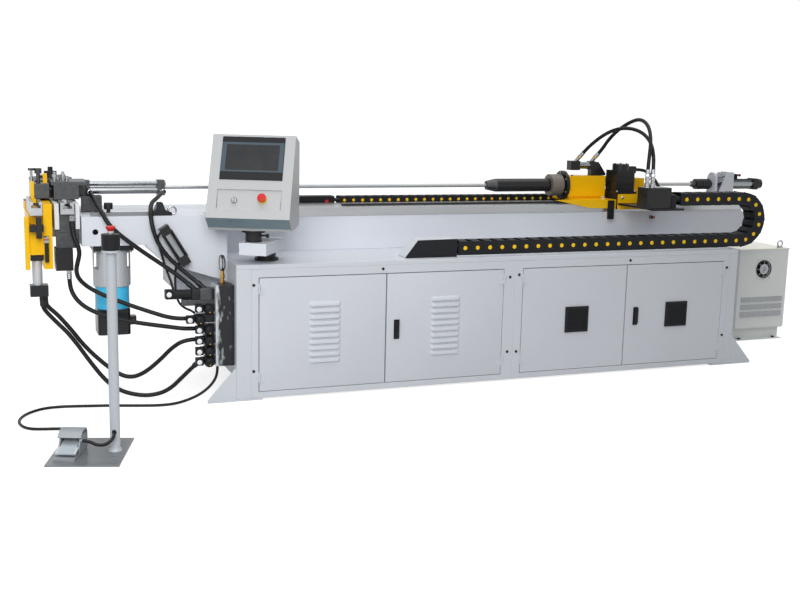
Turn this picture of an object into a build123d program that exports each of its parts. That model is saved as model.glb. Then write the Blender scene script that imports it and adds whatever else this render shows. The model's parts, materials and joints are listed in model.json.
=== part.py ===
# CNC pipe bending machine: cabinet, feed carriage, bending head, console, foot switch stand, transformer
import os
from math import acos, atan2, cos, pi, radians, sin, sqrt, tan

from build123d import *

os.makedirs("parts", exist_ok=True)

# Frame: millimetres, X along the tube line, Y away from the operator, Z up from the floor.
# Plan dimensions start at the tip of the left foot and at the cabinet's front face.
FRAME_X = -1463.0
FRAME_Y = -52.0

# Cabinet
WELD_GAP = 0.2
SHEET = 6.0
DECK = 10.0
FACE = 10.0
CABINET_X = (135.0, 2925.0)
CABINET_Y = (0.0, 800.0)
CABINET_Z = (10.0, 643.0)
PARTITION_X = 1566.0
FRAME_TOP = 622.0
FRAME_X_SPANS = ((205.0, 1565.9), (1566.1, 2875.0))
BAY_X_SPANS = ((240.0, 1503.0), (1609.0, 2836.0))
BAY_Z = (38.0, 582.0)
SCREW_RADIUS = 6.0
SCREW_HEAD = 3.0
SCREW_POINTS = (
    ((216.0, 548.0), (216.0, 140.0), (868.0, 604.0), (1535.0, 540.0), (1535.0, 155.0)),
    ((1586.0, 550.0), (1586.0, 153.0), (2238.0, 604.0), (2856.0, 546.0), (2856.0, 170.0)),
)
FOOT_FLARE = 135.0
FOOT_RISE = 164.0
FOOT_TOE = 12.0
FOOT_PLATE = (205.0, 110.0, 9.8)
FOOT_INSET = 55.0
FLOOR_LIFT = 110.0
FLOOR_FRONT_Y = 30.0
REAR_LEG_INSET = 300.0
REAR_LEG = 100.0

# Doors
DOOR_GAP = 3.0
DOOR_THICK = 18.0
DOOR_SHEET = 2.0
HINGE_OUT = 5.0
HINGE_RADIUS = 5.0
HINGE_LENGTH = 24.0
HINGE_FLAP = 25.0
HINGE_SHEET = 3.0
HINGE_PLAY = 0.6
HINGE_Z = (85.0, 505.0)
LOUVRE_CENTRES = (562.0, 1186.0)
LOUVRE_WIDTH = 156.0
LOUVRE_Z = 165.0
LOUVRE_PITCH = 30.2
LOUVRE_COUNT = 10
LOUVRE_HEIGHT = 20.0
LOUVRE_OUT = 9.0
LOUVRE_LIP = 2.0
GRILLE_CENTRES = (1929.0, 2541.0)
GRILLE_Z = 305.0
GRILLE_HALF = 67.0
GRILLE_OUT = 9.0
GRILLE_SLOTS = 9
GRILLE_SLOT = 6.0
LATCH_X = (927.0, 2288.0)
LATCH_Z = (256.0, 352.0)
LATCH_HALF = 14.0
LATCH_BASE = 4.0
HANDLE_HALF = 11.0
HANDLE_Y = (-14.0, -4.4)
HANDLE_Z = (266.0, 346.0)
HANDLE_ROUND = 3.0

# Hydraulic unit and electrical plate inside the cabinet
TANK = ((330.0, 830.0), (300.0, 700.0), (116.4, 330.0))
PUMP_MOTOR_AT = (500.0, 500.0)
PUMP_MOTOR_RADIUS = 90.0
PUMP_MOTOR_Z = (330.0, 570.0)
FILLER_AT = (740.0, 400.0)
FILLER_RADIUS = 28.0
FILLER_Z = (330.0, 365.0)
PANEL_PLATE = ((1650.0, 2800.0), (778.0, 784.0), (130.0, 580.0))
DRIVE_X = (1700.0, 1860.0, 2020.0)
DRIVE_SIZE = (120.0, 160.0, 260.0)
DRIVE_Z = 280.0
RELAY_X = (2200.0, 2290.0, 2380.0, 2470.0, 2560.0, 2650.0)
RELAY_SIZE = (70.0, 80.0, 95.0)
RELAY_Z = 380.0

# Beam, guide slab and rack
BEAM_X = (135.0, 3300.0)
BEAM_Y = (440.0, 690.0)
BEAM_Z = (643.0, 816.0)
BEAM_WALL = 10.0
BEAM_END_CUT = ((3215.0, 643.0), (3300.0, 745.0), (3300.0, 785.0), (3268.0, 816.0))
SLAB_X = (135.0, 3268.0)
SLAB_Y = (436.0, 694.0)
SLAB_Z = (816.0, 859.0)
MODULE = 3.0
PRESSURE_ANGLE = radians(20.0)
BACKLASH = 0.4
ADDENDUM = 0.9 * MODULE
DEDENDUM = 1.25 * MODULE
RACK_PITCH_Y = 512.0
RACK_BACK_Y = 534.0
RACK_Z = (859.0, 870.0)
RACK_TEETH = 188
RACK_START_X = 2452.0 - 174.0 * pi * MODULE
PINION_TEETH = 20
PINION_Z = (861.0, 870.0)
PINION_SHAFT = 10.0
PINION_SHAFT_BORE = 12.0

# Front cable chain: lower run on its tray, loop at the feed end, upper run to the carriage
CHAIN_Y = (52.0, 152.0)
CHAIN_PITCH = 68.3
CHAIN_HEIGHT = 68.0
CHAIN_RADIUS = 114.5
CHAIN_LOW_Z = 686.0
CHAIN_LOOP_X = 2979.0
CHAIN_START_X = 1262.0
CHAIN_END_X = 2540.0
CHAIN_CORE = 0.78
CHAIN_SIDE = 4.0
LINK_GAP = 2.0
TRAY_Z = (643.2, 650.0)
TRAY_X = (1262.0, 2900.0)
COVER_PROFILE = ((986.0, 650.0), (1261.0, 650.0), (1261.0, 734.0), (1050.0, 731.0))

# Rear cable chain: lower run on a tray behind the beam, loop and upper run behind the carriage
REAR_CHAIN_Y = (705.0, 775.0)
REAR_PITCH = 51.5
REAR_HEIGHT = 42.0
REAR_RADIUS = 50.0
REAR_LOW_Z = 870.0
REAR_LOOP_X = 2560.0
REAR_START_X = 831.0
REAR_END_X = 2350.0
REAR_TRAY = ((621.0, 2760.0), (694.2, 790.0), (842.0, 848.0))
REAR_TRAY_LIP = ((621.0, 2760.0), (694.2, 698.0), (834.0, 842.0))
REAR_COVER = ((621.0, 830.0), (704.0, 776.0), (848.0, 893.0))

# Tube line
TUBE_Y = 565.0
TUBE_Z = 957.0
GROOVE_RADIUS = 14.0

# Carriage
BASE_PLATE = ((2140.0, 2645.0), (422.0, 692.0), (872.0, 884.0))
SKIRT_PROFILE = ((2012.0, 884.0), (2222.0, 839.0), (2620.0, 826.0), (2620.0, 884.0))
SKIRT_Y = (420.0, 434.0)
MOTOR_SEAT = ((2395.0, 2562.0), (420.0, 545.0), (884.0, 915.0))
SEAT_FRONT = ((2395.0, 2575.0), (405.0, 420.0), (830.0, 915.0))
PAD_X = ((2142.0, 2200.0), (2566.0, 2616.0))
PAD_Y = ((440.0, 470.0), (662.0, 690.0))
PAD_Z = (859.3, 872.0)
OUTRIGGER = ((2398.0, 2590.0), (50.0, 424.0), (856.0, 865.8))
CHAIN_HITCH = ((2510.0, 2539.5), (56.0, 148.0), (865.8, 940.0))
SENSOR_TAB = ((2342.0, 2376.0), (404.0, 420.0), (776.0, 880.0))
HOUSING_FOOT = ((2150.0, 2360.0), (520.0, 610.0), (884.0, 894.8))
STEADY = ((2562.0, 2638.0), (520.0, 640.0), (884.0, 996.0))
STEADY_BORE = 13.0
REAR_ARM = ((2320.0, 2349.0), (676.0, 692.0), (884.0, 1000.0))
REAR_HITCH = ((2320.0, 2349.0), (692.0, 775.0), (945.0, 1000.0))
HOUSING = ((2136.2, 2373.0), (508.0, 622.0), (895.0, 1010.0))
FLANGE_X = (2118.6, 2136.0)
FLANGE_RADIUS = 80.0
FLANGE_BOLTS = 6
FLANGE_BOLT_CIRCLE = 70.0
FLANGE_BOLT = (5.0, 5.0)
SPINDLE_RADIUS = 35.0
SPINDLE_BORE = 35.06
NOSE_X = (1653.0, 1710.0)
NOSE_RADII = (24.0, 36.0)
BARREL_X = (1710.0, 2041.0)
BARREL_RADIUS = 36.0
COLLAR_X = (2041.0, 2112.0)
COLLAR_RADIUS = 60.0
SPINDLE_X = (2112.0, 2372.0)
CHUCK_BORE = 14.0
JAW_SLOTS = 3
JAW_SLOT = 5.0
JAW_DEPTH = 46.0
FEED_MOTOR = ((2395.0, 2510.0), (425.0, 540.0), (927.0, 1044.0))
MOTOR_FLANGE = ((2390.0, 2522.0), (412.0, 548.0), (915.2, 927.0))
MOTOR_AXIS = (2452.0, 482.0)
MOTOR_CAP_RADIUS = 47.0
MOTOR_CAP_Z = (1044.0, 1080.0)
MOTOR_PLUG = ((2490.0, 2548.0), (470.0, 506.0), (1028.0, 1066.0))
MOTOR_GLAND = (12.0, 30.0)
JUNCTION_BOX = ((2355.0, 2507.0), (55.0, 155.0), (866.0, 978.0))
BOX_FITTINGS_X = (2382.0, 2415.0)
BOX_FITTING_Y = 105.0
BOX_FITTING_Z = (978.0, 1046.0)
BOX_ROUND = 6.0
FITTING_RADIUS = 11.0
COLLET_LEFT = ((2166.0, 2224.0), (540.0, 590.0), (1040.0, 1092.0))
COLLET_BARREL_X = (2224.0, 2293.0)
COLLET_BARREL_RADIUS = 20.0
COLLET_RIGHT = ((2293.0, 2325.0), (541.0, 589.0), (1042.0, 1090.0))
COLLET_Z = 1066.0
COLLET_BRACKET = (
    (2325.0, 1086.0), (2346.0, 1086.0), (2394.0, 1022.0), (2394.0, 1010.2), (2300.0, 1010.2),
    (2300.0, 1050.0),
)
COLLET_BRACKET_Y = (545.0, 585.0)
COLLET_PORT_DEPTH = 40.0

# Mandrel rod and extractor
ROD_RADIUS = 10.0
ROD_X = (-480.0, 2993.0)
MANDREL_X = (-560.0, -480.0)
MANDREL_RADIUS = 13.0
ROD_NUT_X = (2993.0, 3020.0)
ROD_NUT_RADIUS = 17.0
COUPLING_X = (3020.0, 3122.0)
COUPLING_RADIUS = 31.0
COUPLING_RIBS = 5
COUPLING_GROOVE = 3.0
COUPLING_LAND = 0.7
PISTON_ROD_X = (3122.0, 3330.0)
PISTON_ROD_RADIUS = 12.0
EXTRACTOR_BASE = ((3085.0, 3266.0), (505.0, 625.0), (859.2, 905.0))
REST_PLATE = ((3136.0, 3152.0), (525.0, 605.0), (905.0, 986.0))
HEAD_PLATE = ((3238.0, 3260.0), (515.0, 615.0), (905.0, 1028.0))
GUSSET_PROFILE = ((3238.0, 1024.0), (3214.0, 1024.0), (3166.0, 920.0), (3166.0, 905.0), (3238.0, 905.0))
GUSSET_Y = ((515.0, 527.0), (603.0, 615.0))
TIE_OFFSET = 29.0
TIE_Z = (932.0, 1004.0)
TIE_RADIUS = 6.0
EXTRACTOR_BORE = 14.0
EXTRACTOR_BARREL_X = (3260.2, 3424.0)
EXTRACTOR_BARREL_RADIUS = 25.0
EXTRACTOR_CAP = ((3424.0, 3452.0), (532.0, 598.0), (924.0, 990.0))
EXTRACTOR_END_X = (3452.0, 3490.0)
EXTRACTOR_END_RADIUS = 29.0

# Bending head
PIVOT = (-620.0, 665.0)
HEAD_Y = (190.0, 740.0)
COLUMN_PROFILE = (
    (-239.9, 854.0), (134.8, 854.0), (134.8, 541.0), (5.0, 582.0), (-164.0, 639.0), (-239.9, 721.0),
)
COLUMN_NOTCH = ((46.0, 136.0), (189.0, 330.0), (792.0, 855.0))
COLUMN_FOOT = ((-78.0, 134.8), (390.0, 740.0), (470.0, 600.0))
ARM_BOX = ((-525.0, -240.1), HEAD_Y, (722.0, 854.0))
ARM_HOLE = (-466.0, 786.0)
ARM_HOLE_RADIUS = 13.0
ARM_HOLE_DEPTH = 60.0
NOSE_BLOCK = ((-620.0, -525.2), (572.0, 740.0), (722.0, 854.0))
NOSE_BOSS_RADIUS = 93.0
SPINDLE_SHAFT = 40.0
SPINDLE_SHAFT_BORE = 40.06
HEAD_RAIL = ((-480.0, -220.0), (215.0, 245.0), (854.0, 870.0))
HEAD_STUD_AT = (-402.0, 230.0)
HEAD_STUD = ((9.0, (870.0, 888.0)), (20.0, (886.0, 914.0)))
CLEVIS_PROFILE = (
    (-222.0, 854.0), (-118.0, 854.0), (-118.0, 868.0), (-148.0, 880.0), (-160.0, 914.0), (-180.0, 914.0),
    (-194.0, 880.0), (-222.0, 868.0),
)
CLEVIS_Y = (208.0, 258.0)
CLEVIS_RING_AT = (-114.0, 233.0, 875.0)
CLEVIS_RING = (18.0, 4.5)
GEARMOTOR_AT = (-385.0, 300.0)
GEARMOTOR_FLANGE = ((-475.0, -295.0), (210.0, 390.0), (695.0, 721.8))
REDUCER_RADIUS = 85.0
REDUCER_Z = (526.0, 695.0)
REDUCER_SLOT = (64.0, 81.0)
REDUCER_SLOT_Z = (605.0, 680.0)
BLUE_RING_RADIUS = 78.0
BLUE_RING_Z = (420.0, 526.0)
MOTOR_TAIL_HALF = 74.0
MOTOR_TAIL_ROUND = 20.0
MOTOR_TAIL_Z = (300.0, 420.0)
TAIL_PLUG = ((-320.0, -284.0), (240.0, 285.0), (343.0, 383.0))

# Pressure die unit
GUIDE_PLATES_X = ((-640.0, -620.0), (-550.0, -531.0))
GUIDE_Y = (200.0, 520.0)
GUIDE_Z = (800.0, 913.0)
GUIDE_BED = ((-620.0, -550.0), (210.0, 520.0), (785.0, 868.0))
GUIDE_SKIRT = ((-636.0, -534.0), (212.0, 222.0), (713.2, 800.0))
GUIDE_MOUNT = ((-531.0, -525.2), (250.0, 500.0), (730.0, 850.0))
GUIDE_PORT = ((-577.0, -553.0), (186.0, 210.0), (838.0, 862.0))
PRESS_SLIDE = ((-615.0, -555.0), (180.0, 480.0), (868.6, 920.0))
SLOT_NECK = (24.0, 14.0)
SLOT_HEAD = (40.0, 13.0)
PRESS_HOLDER = ((-630.0, -520.0), (330.0, 470.0), (922.0, 986.0))
PRESS_KEY = ((-595.0, -575.0), (332.0, 468.0), (900.0, 922.0))
PRESS_CAP = ((-640.0, -485.0), (335.0, 469.0), (986.0, 1002.0))
PRESS_BOLTS = (
    (-622.0, 372.0, 1044.0), (-604.0, 410.0, 1030.0), (-584.0, 386.0, 1046.0), (-566.0, 420.0, 1024.0),
)
BOLT_RADIUS = 7.0
BOLT_HEAD_RADIUS = 12.0
BOLT_HEAD = 12.0
PRESS_DIE = ((-598.0, -476.0), (472.0, 564.3), (922.0, 1000.0))
BOOSTER_Y = 500.0
BOOSTER_ROD_Z = 981.0
BOOSTER_ROD_RADIUS = 12.0
BOOSTER_ROD_X = (-476.0, -98.0)
BOOSTER_ROD_BORE = 12.5
BOOSTER_BARREL_Z = 948.0
BOOSTER_BARREL_RADIUS = 17.0
BOOSTER_BARREL_X = (-456.0, -140.0)
BOOSTER_BORE = 11.0
BOOSTER_BORE_END = 6.0
PISTON_RADIUS = 8.0
PISTON_X = (-476.0, -152.0)
BOOSTER_LEFT = ((-473.0, -456.0), (478.0, 522.0), (926.0, 998.0))
BOOSTER_RIGHT = ((-140.0, -105.0), (476.0, 524.0), (924.0, 998.0))
BOOSTER_BRACKET = ((-500.0, -410.0), (404.0, 470.0), (858.0, 930.0))
BOOSTER_TIE = ((-473.0, -456.0), (450.0, 480.0), (900.0, 932.0))
BRACKET_TIE = ((-520.0, -490.0), (404.0, 468.0), (922.1, 930.0))
BOOSTER_PORTS = ((-464.0, (456.0, 478.0), 950.0), (-122.0, (454.0, 476.0), 948.0))
PRESS_CYLINDER = ((-640.0, -565.0), (190.0, 290.0), (614.0, 713.0))
PRESS_BARREL_AT = (-586.0, 258.0)
PRESS_BARREL_RADIUS = 24.0
PRESS_BARREL_Z = (713.0, 784.8)
PRESS_PORT_DEPTH = 24.0

# Swing arm with the clamp unit
ARM_RIGHT = ((-690.0, -652.0), (175.0, 540.0), (626.0, 916.0))
ARM_LEFT = ((-769.0, -750.0), (175.0, 216.0), (625.0, 859.0))
ARM_FRONT = ((-750.0, -690.0), (185.0, 199.0), (690.0, 798.0))
ARM_WEB = ((-750.0, -690.0), (230.0, 540.0), (700.0, 864.0))
ARM_NECK = ((-750.0, -652.0), (500.0, 640.0), (858.0, 900.0))
HUB_BLOCK = ((-712.0, -620.0), (575.0, 757.0), (858.0, 900.0))
HUB_RADIUS = 92.0
HUB_Z = (858.0, 900.0)
EARS_X = ((-750.0, -724.0), (-696.0, -690.0))
EARS_Y = (138.0, 185.0)
EARS_Z = (797.0, 827.0)
LEVER = ((-722.0, -698.0), (140.0, 160.0), (768.0, 862.0))
LEVER_PIVOT = (150.0, 812.0)
LEVER_PIN = 6.0
LEVER_PIN_BORE = 6.06
LEVER_PIN_X = (-746.0, -692.0)
DIE_RADIUS = 99.2
DIE_Z = (900.2, 1000.0)
DIE_CAP = ((60.0, (1000.0, 1010.0)), (30.0, (1010.0, 1030.0)), (12.0, (1030.0, 1050.0)))
SPINDLE_Z = (724.0, 901.0)
CLAMP_SLIDE = ((-744.0, -692.0), (165.0, 470.0), (866.5, 926.0))
CLAMP_HOLDER = ((-715.0, -650.0), (330.0, 469.0), (928.0, 993.0))
CLAMP_KEY = ((-728.0, -708.0), (332.0, 468.0), (906.0, 930.0))
CLAMP_STRIP = ((-729.0, -715.0), (332.0, 466.0), (928.0, 1002.0))
CLAMP_DIE = ((-704.0, -642.0), (471.0, 564.3), (922.0, 1000.0))
CLAMP_POST_AT = (-722.0, 395.0)
CLAMP_POST = ((6.5, (1002.0, 1050.0)), (14.0, (1050.0, 1060.0)))
CLAMP_KNOB_AT = (-692.0, 395.0)
CLAMP_KNOB = ((9.0, (993.0, 1036.0)), (16.0, (1036.0, 1060.0)))
CLAMP_STOP = ((-672.0, -654.0), (385.0, 405.0), (993.0, 1036.0))
CYLINDER_AT = (-718.0, 240.0)
CYLINDER_HEAD = ((-746.0, -692.0), (214.0, 266.0), (659.0, 699.8))
CYLINDER_BARREL = (22.0, (548.0, 659.0))
CYLINDER_CAP = ((-752.0, -674.0), (208.0, 272.0), (497.0, 548.0))
CLAMP_PORTS = ((-686.0, 257.0), (-702.0, 222.0))
CLAMP_PORT_Z = (480.0, 497.0)

# Small cylinder on the column's front
ASSIST_TOP = (-168.0, 166.8, 808.0)
ASSIST_FOOT = (-62.0, 166.8, 632.0)
ASSIST_HALF = 23.0
ASSIST_RADIUS = 21.0
ASSIST_ENDS = (40.0, 44.0)

# Valve manifold on the cabinet's left end
MANIFOLD = ((47.0, 134.8), (40.0, 140.0), (165.0, 545.0))
VALVE_Z = (440.0, 390.0, 341.0, 290.0, 239.0, 190.0)
VALVE_Y = 88.0
VALVE_SHIFT = (0.0, -34.0, 0.0, 0.0, 0.0, 0.0)
VALVE_BODY = (21.0, 40.0, 38.0)
COIL_RADIUS = 18.0
COIL_LENGTH = 46.0
VALVE_NUT = (9.0, 11.0)
PLUG_RADIUS = 15.0
PLUG_LENGTH = 30.0
TOP_VALVE = ((-58.0, 46.8), (62.0, 112.0), (480.0, 528.0))
TOP_COIL_X = (-150.0, -58.0)
TOP_COIL = (87.0, 504.0, 22.0)
TOP_NUT_X = (-160.0, -150.0)
TOP_FITTING_DEPTHS = (62.0, 50.0)
LOW_FITTING_DEPTH = 38.0
LOW_FITTING_RADIUS = 9.0
GAUGE_X = (74.0, 110.0)
GAUGE_RADIUS = 38.0
GAUGE_AT = (92.0, 100.0, 642.0)
GAUGE_STEM = (9.0, (545.2, 606.0))
MANIFOLD_OUTLET = (56.0, 52.0, 165.0)
OUTLET_RADIUS = 8.0
OUTLET_LENGTH = 24.0

# Operator console
CONSOLE_BASE = (315.0, 150.0)
CONSOLE_ARM_TURN = 33.0
CONSOLE_FLANGE = (57.0, 0.2, 12.0)
CONSOLE_STUB = (44.0, 12.0, 47.0)
CONSOLE_BOX = ((-65.0, 65.0), (-200.0, 65.0), (46.0, 102.0))
COLLAR_AT = (-17.0, -137.0)
COLLAR = (38.0, 102.0, 146.6)
COLLAR_KNOB = ((30.0, 62.0, 5.0), (62.0, 74.0, 9.0))
COLLAR_KNOB_Z = 132.0
CONSOLE_TURN = 25.4
CONSOLE_PROFILE = (
    (-105.0, 71.0), (65.0, 441.0), (168.0, 409.0), (165.0, 20.0), (-42.0, 10.0), (-50.0, 21.0),
)
FACE_FOOT, FACE_TOP = CONSOLE_PROFILE[:2]
CONSOLE_TILT = atan2(FACE_TOP[0] - FACE_FOOT[0], FACE_TOP[1] - FACE_FOOT[1])
CONSOLE_HALF = 192.5
CONSOLE_SHIFT = -8.0
CONSOLE_WALL = 6.0
CONSOLE_FACE_AT = (-20.0, 256.0)
CONSOLE_NECK = (55.0, 10.5)
SCREEN = (290.0, 209.0)
SCREEN_V = 87.5
SCREEN_DEPTH = (-5.8, 5.0)
SCREEN_ROUND = 6.0
SCREEN_PLAY = 1.0
RECESS = (297.0, 102.0)
RECESS_V = -115.0
RECESS_DEPTH = 5.0
STOP_AT = (61.0, -107.0)
KEY_AT = (-68.0, -116.0)
STOP_COLLAR = (27.0, 4.0)
STOP_HEAD = (20.0, 12.0)
STOP_STEM = (9.0, 26.0)
STOP_LIFT = 10.0
KEY_BODY = (14.0, 9.0)
KEY_BAR = (5.0, 24.0, 8.0)
KEY_STEM = (6.0, 15.0)
STEM_PLAY = 0.4

# Foot switch stand
STAND_AT = (-584.0, -574.0)
STAND_TURN = 17.0
STAND_PLATE = (282.0, 357.0, 6.0)
POST_AT = (93.0, 13.0)
POST_RADIUS = 20.0
POST_TOP = 809.0
POST_WELD = (27.0, 14.0)
RING_RADIUS = 35.0
RING_HEIGHT = 9.0
STOP_CUP = (36.0, 35.0, 62.0)
STAND_STOP = (19.0, 22.0, 8.0)
STAND_STEM = (9.0, 30.0)
POST_LEAD_DEPTH = 24.0
LEAD_GLAND_RADIUS = 9.0

# Foot switch on the stand's plate
PEDAL_AT = (-665.0, -593.0)
PEDAL_TURN = 21.0
PEDAL_BASE = (84.0, 174.0, 10.0)
PEDAL_CHEEK = 6.0
CHEEK_PROFILE = ((-12.0, 16.0), (80.0, 16.0), (80.0, 78.0), (40.0, 78.0), (12.0, 74.0), (-12.0, 44.0))
HOOD_PROFILE = (
    (87.0, 16.0), (87.0, 78.0), (82.0, 90.0), (70.0, 97.0), (48.0, 100.0), (24.0, 97.0), (4.0, 88.0),
    (-8.0, 76.0), (-2.0, 72.0), (9.0, 82.0), (26.0, 90.0), (48.0, 93.0), (68.0, 90.0), (76.0, 85.0),
    (80.0, 76.0), (80.0, 16.0),
)
HOOD_HALF = 46.0
PEDAL_SWITCH = ((-28.0, 28.0), (16.0, 44.0), (16.0, 40.0))
TREADLE_PIVOT = (52.0, 58.0)
TREADLE_TILT = radians(14.0)
TREADLE = ((-33.0, 33.0), (-124.0, 0.0), (-3.0, 3.0))
TREADLE_PAD = ((-41.0, 41.0), (-124.0, -74.0), (-3.0, 3.0))
TREADLE_PIN = 5.0
TREADLE_BORE = 5.06
TREADLE_RIBS = 9
TREADLE_RIB = (30.0, 3.0, 1.5)
PEDAL_GLAND_RADIUS = 9.0
PEDAL_GLAND_DEPTH = 20.0
PEDAL_LEAD_DEPTH = 11.0

# Transformer
TRANSFORMER = ((3340.0, 3700.0), (500.0, 886.0), (78.0, 560.0))
TRANSFORMER_WALL = 5.0
TRANSFORMER_LID = ((3336.0, 3704.0), (496.0, 890.0), (560.0, 566.0))
TRANSFORMER_FEET_Y = ((504.0, 546.0), (840.0, 882.0))
TRANSFORMER_FEET_X = (3346.0, 3697.0)
TRANSFORMER_CORE = ((3420.0, 3620.0), (600.0, 800.0), (83.0, 380.0))
FOOT_BOLTS_X = (3392.0, 3648.0)
FOOT_BOLT = (10.0, 8.0)
FOOT_BOLT_Y = 522.0
FAN_AT = (3520.0, 441.0)
FAN_RADIUS = 50.0
FAN_RINGS = (12.0, 24.0, 36.0, 48.0)
FAN_WIRE = 3.0
FAN_GUARD_Y = (494.0, 498.0)
FAN_RIM = 55.0
FAN_RIM_WALL = 4.0
FAN_TIP_GAP = 4.0
FAN_SPOKES = 4
FAN_BLADES = 7
FAN_Y = (508.0, 530.0)
FAN_HUB = 19.0
FAN_BLADE = (26.0, 3.0)
FAN_BLADE_PITCH = 35.0
FAN_SEAT_Y = (530.5, 600.0)
FAN_FOOT_Y = (550.5, 700.0)
FAN_FOOT_TOP = 400.0
STRIP_Z = ((240.0, 270.0), (195.0, 224.0), (148.0, 180.0))
STRIP_X = (3368.0, 3674.0)
STRIP_OUT = 6.0
EYE_AT = (3650.0, 525.0)
EYE_RING = (18.0, 5.0)
EYE_FOOT_Z = (566.0, 574.0)

# Hoses and cables: routes from exit to far end, in plan dimensions
HOSE_RADIUS = 10.0
CABLE_RADIUS = 6.5
THIN_HOSE_RADIUS = 5.5
CONDUIT_RADIUS = 9.0
BOOSTER_HOSE_LEFT = (
    (-464.0, 456.0, 950.0), (-464.0, 414.0, 950.0), (-460.0, 356.0, 938.0), (-454.0, 300.0, 920.0),
    (-446.0, 244.0, 896.0), (-436.0, 186.0, 876.0), (-420.0, 152.0, 838.0), (-394.0, 146.0, 804.0),
    (-344.0, 147.0, 759.0), (-254.0, 146.0, 690.0), (-174.0, 138.0, 634.0), (-108.0, 121.0, 585.0),
    (-66.0, 106.0, 548.0),
)
BOOSTER_HOSE_RIGHT = (
    (-122.0, 454.0, 948.0), (-122.0, 414.0, 948.0), (-142.0, 362.0, 942.0), (-172.0, 304.0, 926.0),
    (-208.0, 246.0, 909.0), (-222.0, 176.0, 874.0), (-218.0, 150.0, 802.0), (-192.0, 150.0, 730.0),
    (-152.0, 146.0, 672.0), (-104.0, 138.0, 624.0), (-62.0, 123.5, 586.0), (-22.0, 104.0, 552.0),
)
PRESS_HOSE_FRONT = (
    (-565.0, 198.0, 837.8), (-565.0, 198.0, 806.0), (-560.0, 184.0, 766.0), (-544.0, 176.0, 730.0),
    (-538.0, 175.0, 690.0), (-549.0, 175.0, 650.0), (-556.0, 176.0, 614.0), (-544.0, 184.0, 574.0),
    (-498.0, 188.0, 530.0), (-412.0, 172.0, 486.0), (-318.0, 152.0, 449.0), (-222.0, 128.0, 415.0),
    (-164.0, 108.0, 397.0), (-110.0, 88.0, 390.0), (-65.4, 88.0, 390.0),
)
PRESS_HOSE_REAR = (
    (-581.0, 236.0, 598.0), (-581.0, 236.0, 560.0), (-574.0, 228.0, 512.0), (-548.0, 212.0, 468.0),
    (-500.0, 196.0, 430.0), (-430.0, 178.0, 402.0), (-340.0, 154.0, 378.0), (-240.0, 128.0, 362.0),
    (-150.0, 106.0, 350.0), (-84.0, 88.0, 341.0), (-31.4, 88.0, 341.0),
)
ASSIST_HOSE_UPPER = (
    (-178.3, 166.8, 778.4), (-192.0, 166.8, 770.1), (-190.0, 166.0, 735.0), (-178.0, 164.0, 691.0),
    (-166.0, 158.0, 640.0), (-152.0, 140.0, 592.0), (-142.0, 112.0, 556.0), (-138.0, 92.0, 527.0),
)
ASSIST_HOSE_LOWER = (
    (-94.2, 166.8, 638.1), (-108.0, 166.8, 629.8), (-117.0, 150.0, 600.0), (-121.0, 132.0, 560.0),
    (-121.0, 124.0, 510.0), (-110.0, 118.0, 460.0), (-82.0, 106.0, 434.0), (-52.0, 96.0, 424.0),
    (-40.0, 91.0, 412.0),
)
CLAMP_HOSE_UPPER = (
    (-686.0, 257.0, 480.0), (-686.0, 257.0, 454.0), (-664.0, 255.0, 430.0), (-638.0, 250.0, 406.0),
    (-611.0, 244.0, 374.0), (-576.0, 236.0, 330.0), (-524.0, 222.0, 257.0), (-450.0, 204.0, 181.0),
    (-379.0, 182.0, 124.0), (-322.0, 165.0, 107.0), (-263.0, 149.0, 131.0), (-196.0, 130.0, 191.0),
    (-146.0, 108.0, 250.0), (-90.0, 88.0, 290.0), (-31.4, 88.0, 290.0),
)
CLAMP_HOSE_LOWER = (
    (-702.0, 222.0, 480.0), (-702.0, 222.0, 452.0), (-686.0, 224.0, 424.0), (-662.0, 225.0, 396.0),
    (-635.0, 222.0, 366.0), (-596.0, 214.0, 325.0), (-548.0, 202.0, 258.0), (-503.0, 190.0, 188.0),
    (-439.0, 172.0, 100.0), (-384.0, 156.0, 57.0), (-325.0, 142.0, 35.0), (-258.0, 130.0, 25.0),
    (-191.0, 119.0, 36.0), (-144.0, 110.0, 64.0), (-108.0, 104.0, 100.0), (-75.0, 97.5, 133.5),
    (-42.0, 91.0, 166.0),
)
CARRIAGE_HOSE_BACK = (
    (2382.0, 105.0, 1046.0), (2382.0, 105.0, 1092.0), (2391.0, 114.0, 1146.0), (2410.0, 136.0, 1206.0),
    (2432.0, 180.0, 1268.0), (2446.0, 244.0, 1316.0), (2444.0, 314.0, 1334.0), (2424.0, 380.0, 1312.0),
    (2390.0, 440.0, 1266.0), (2362.0, 484.0, 1212.0), (2345.0, 517.0, 1157.0), (2323.3, 543.0, 1117.7),
)
CARRIAGE_HOSE_FRONT = (
    (2415.0, 105.0, 1046.0), (2415.0, 105.0, 1092.0), (2420.0, 118.0, 1146.0), (2428.0, 152.0, 1198.0),
    (2430.0, 206.0, 1242.0), (2416.0, 268.0, 1272.0), (2384.0, 328.0, 1284.0), (2340.0, 384.0, 1274.0),
    (2298.0, 436.0, 1240.0), (2262.0, 484.0, 1192.0), (2242.6, 520.0, 1154.5), (2223.3, 543.0, 1119.7),
)
MOTOR_CONDUIT = (
    (2548.2, 488.0, 1047.0), (2594.0, 488.0, 1047.0), (2640.0, 485.0, 1031.0), (2678.0, 472.0, 992.0),
    (2692.0, 446.0, 946.0), (2678.0, 404.0, 910.0), (2640.0, 360.0, 892.0), (2600.0, 330.0, 886.0),
    (2574.0, 310.0, 876.0),
)
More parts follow.
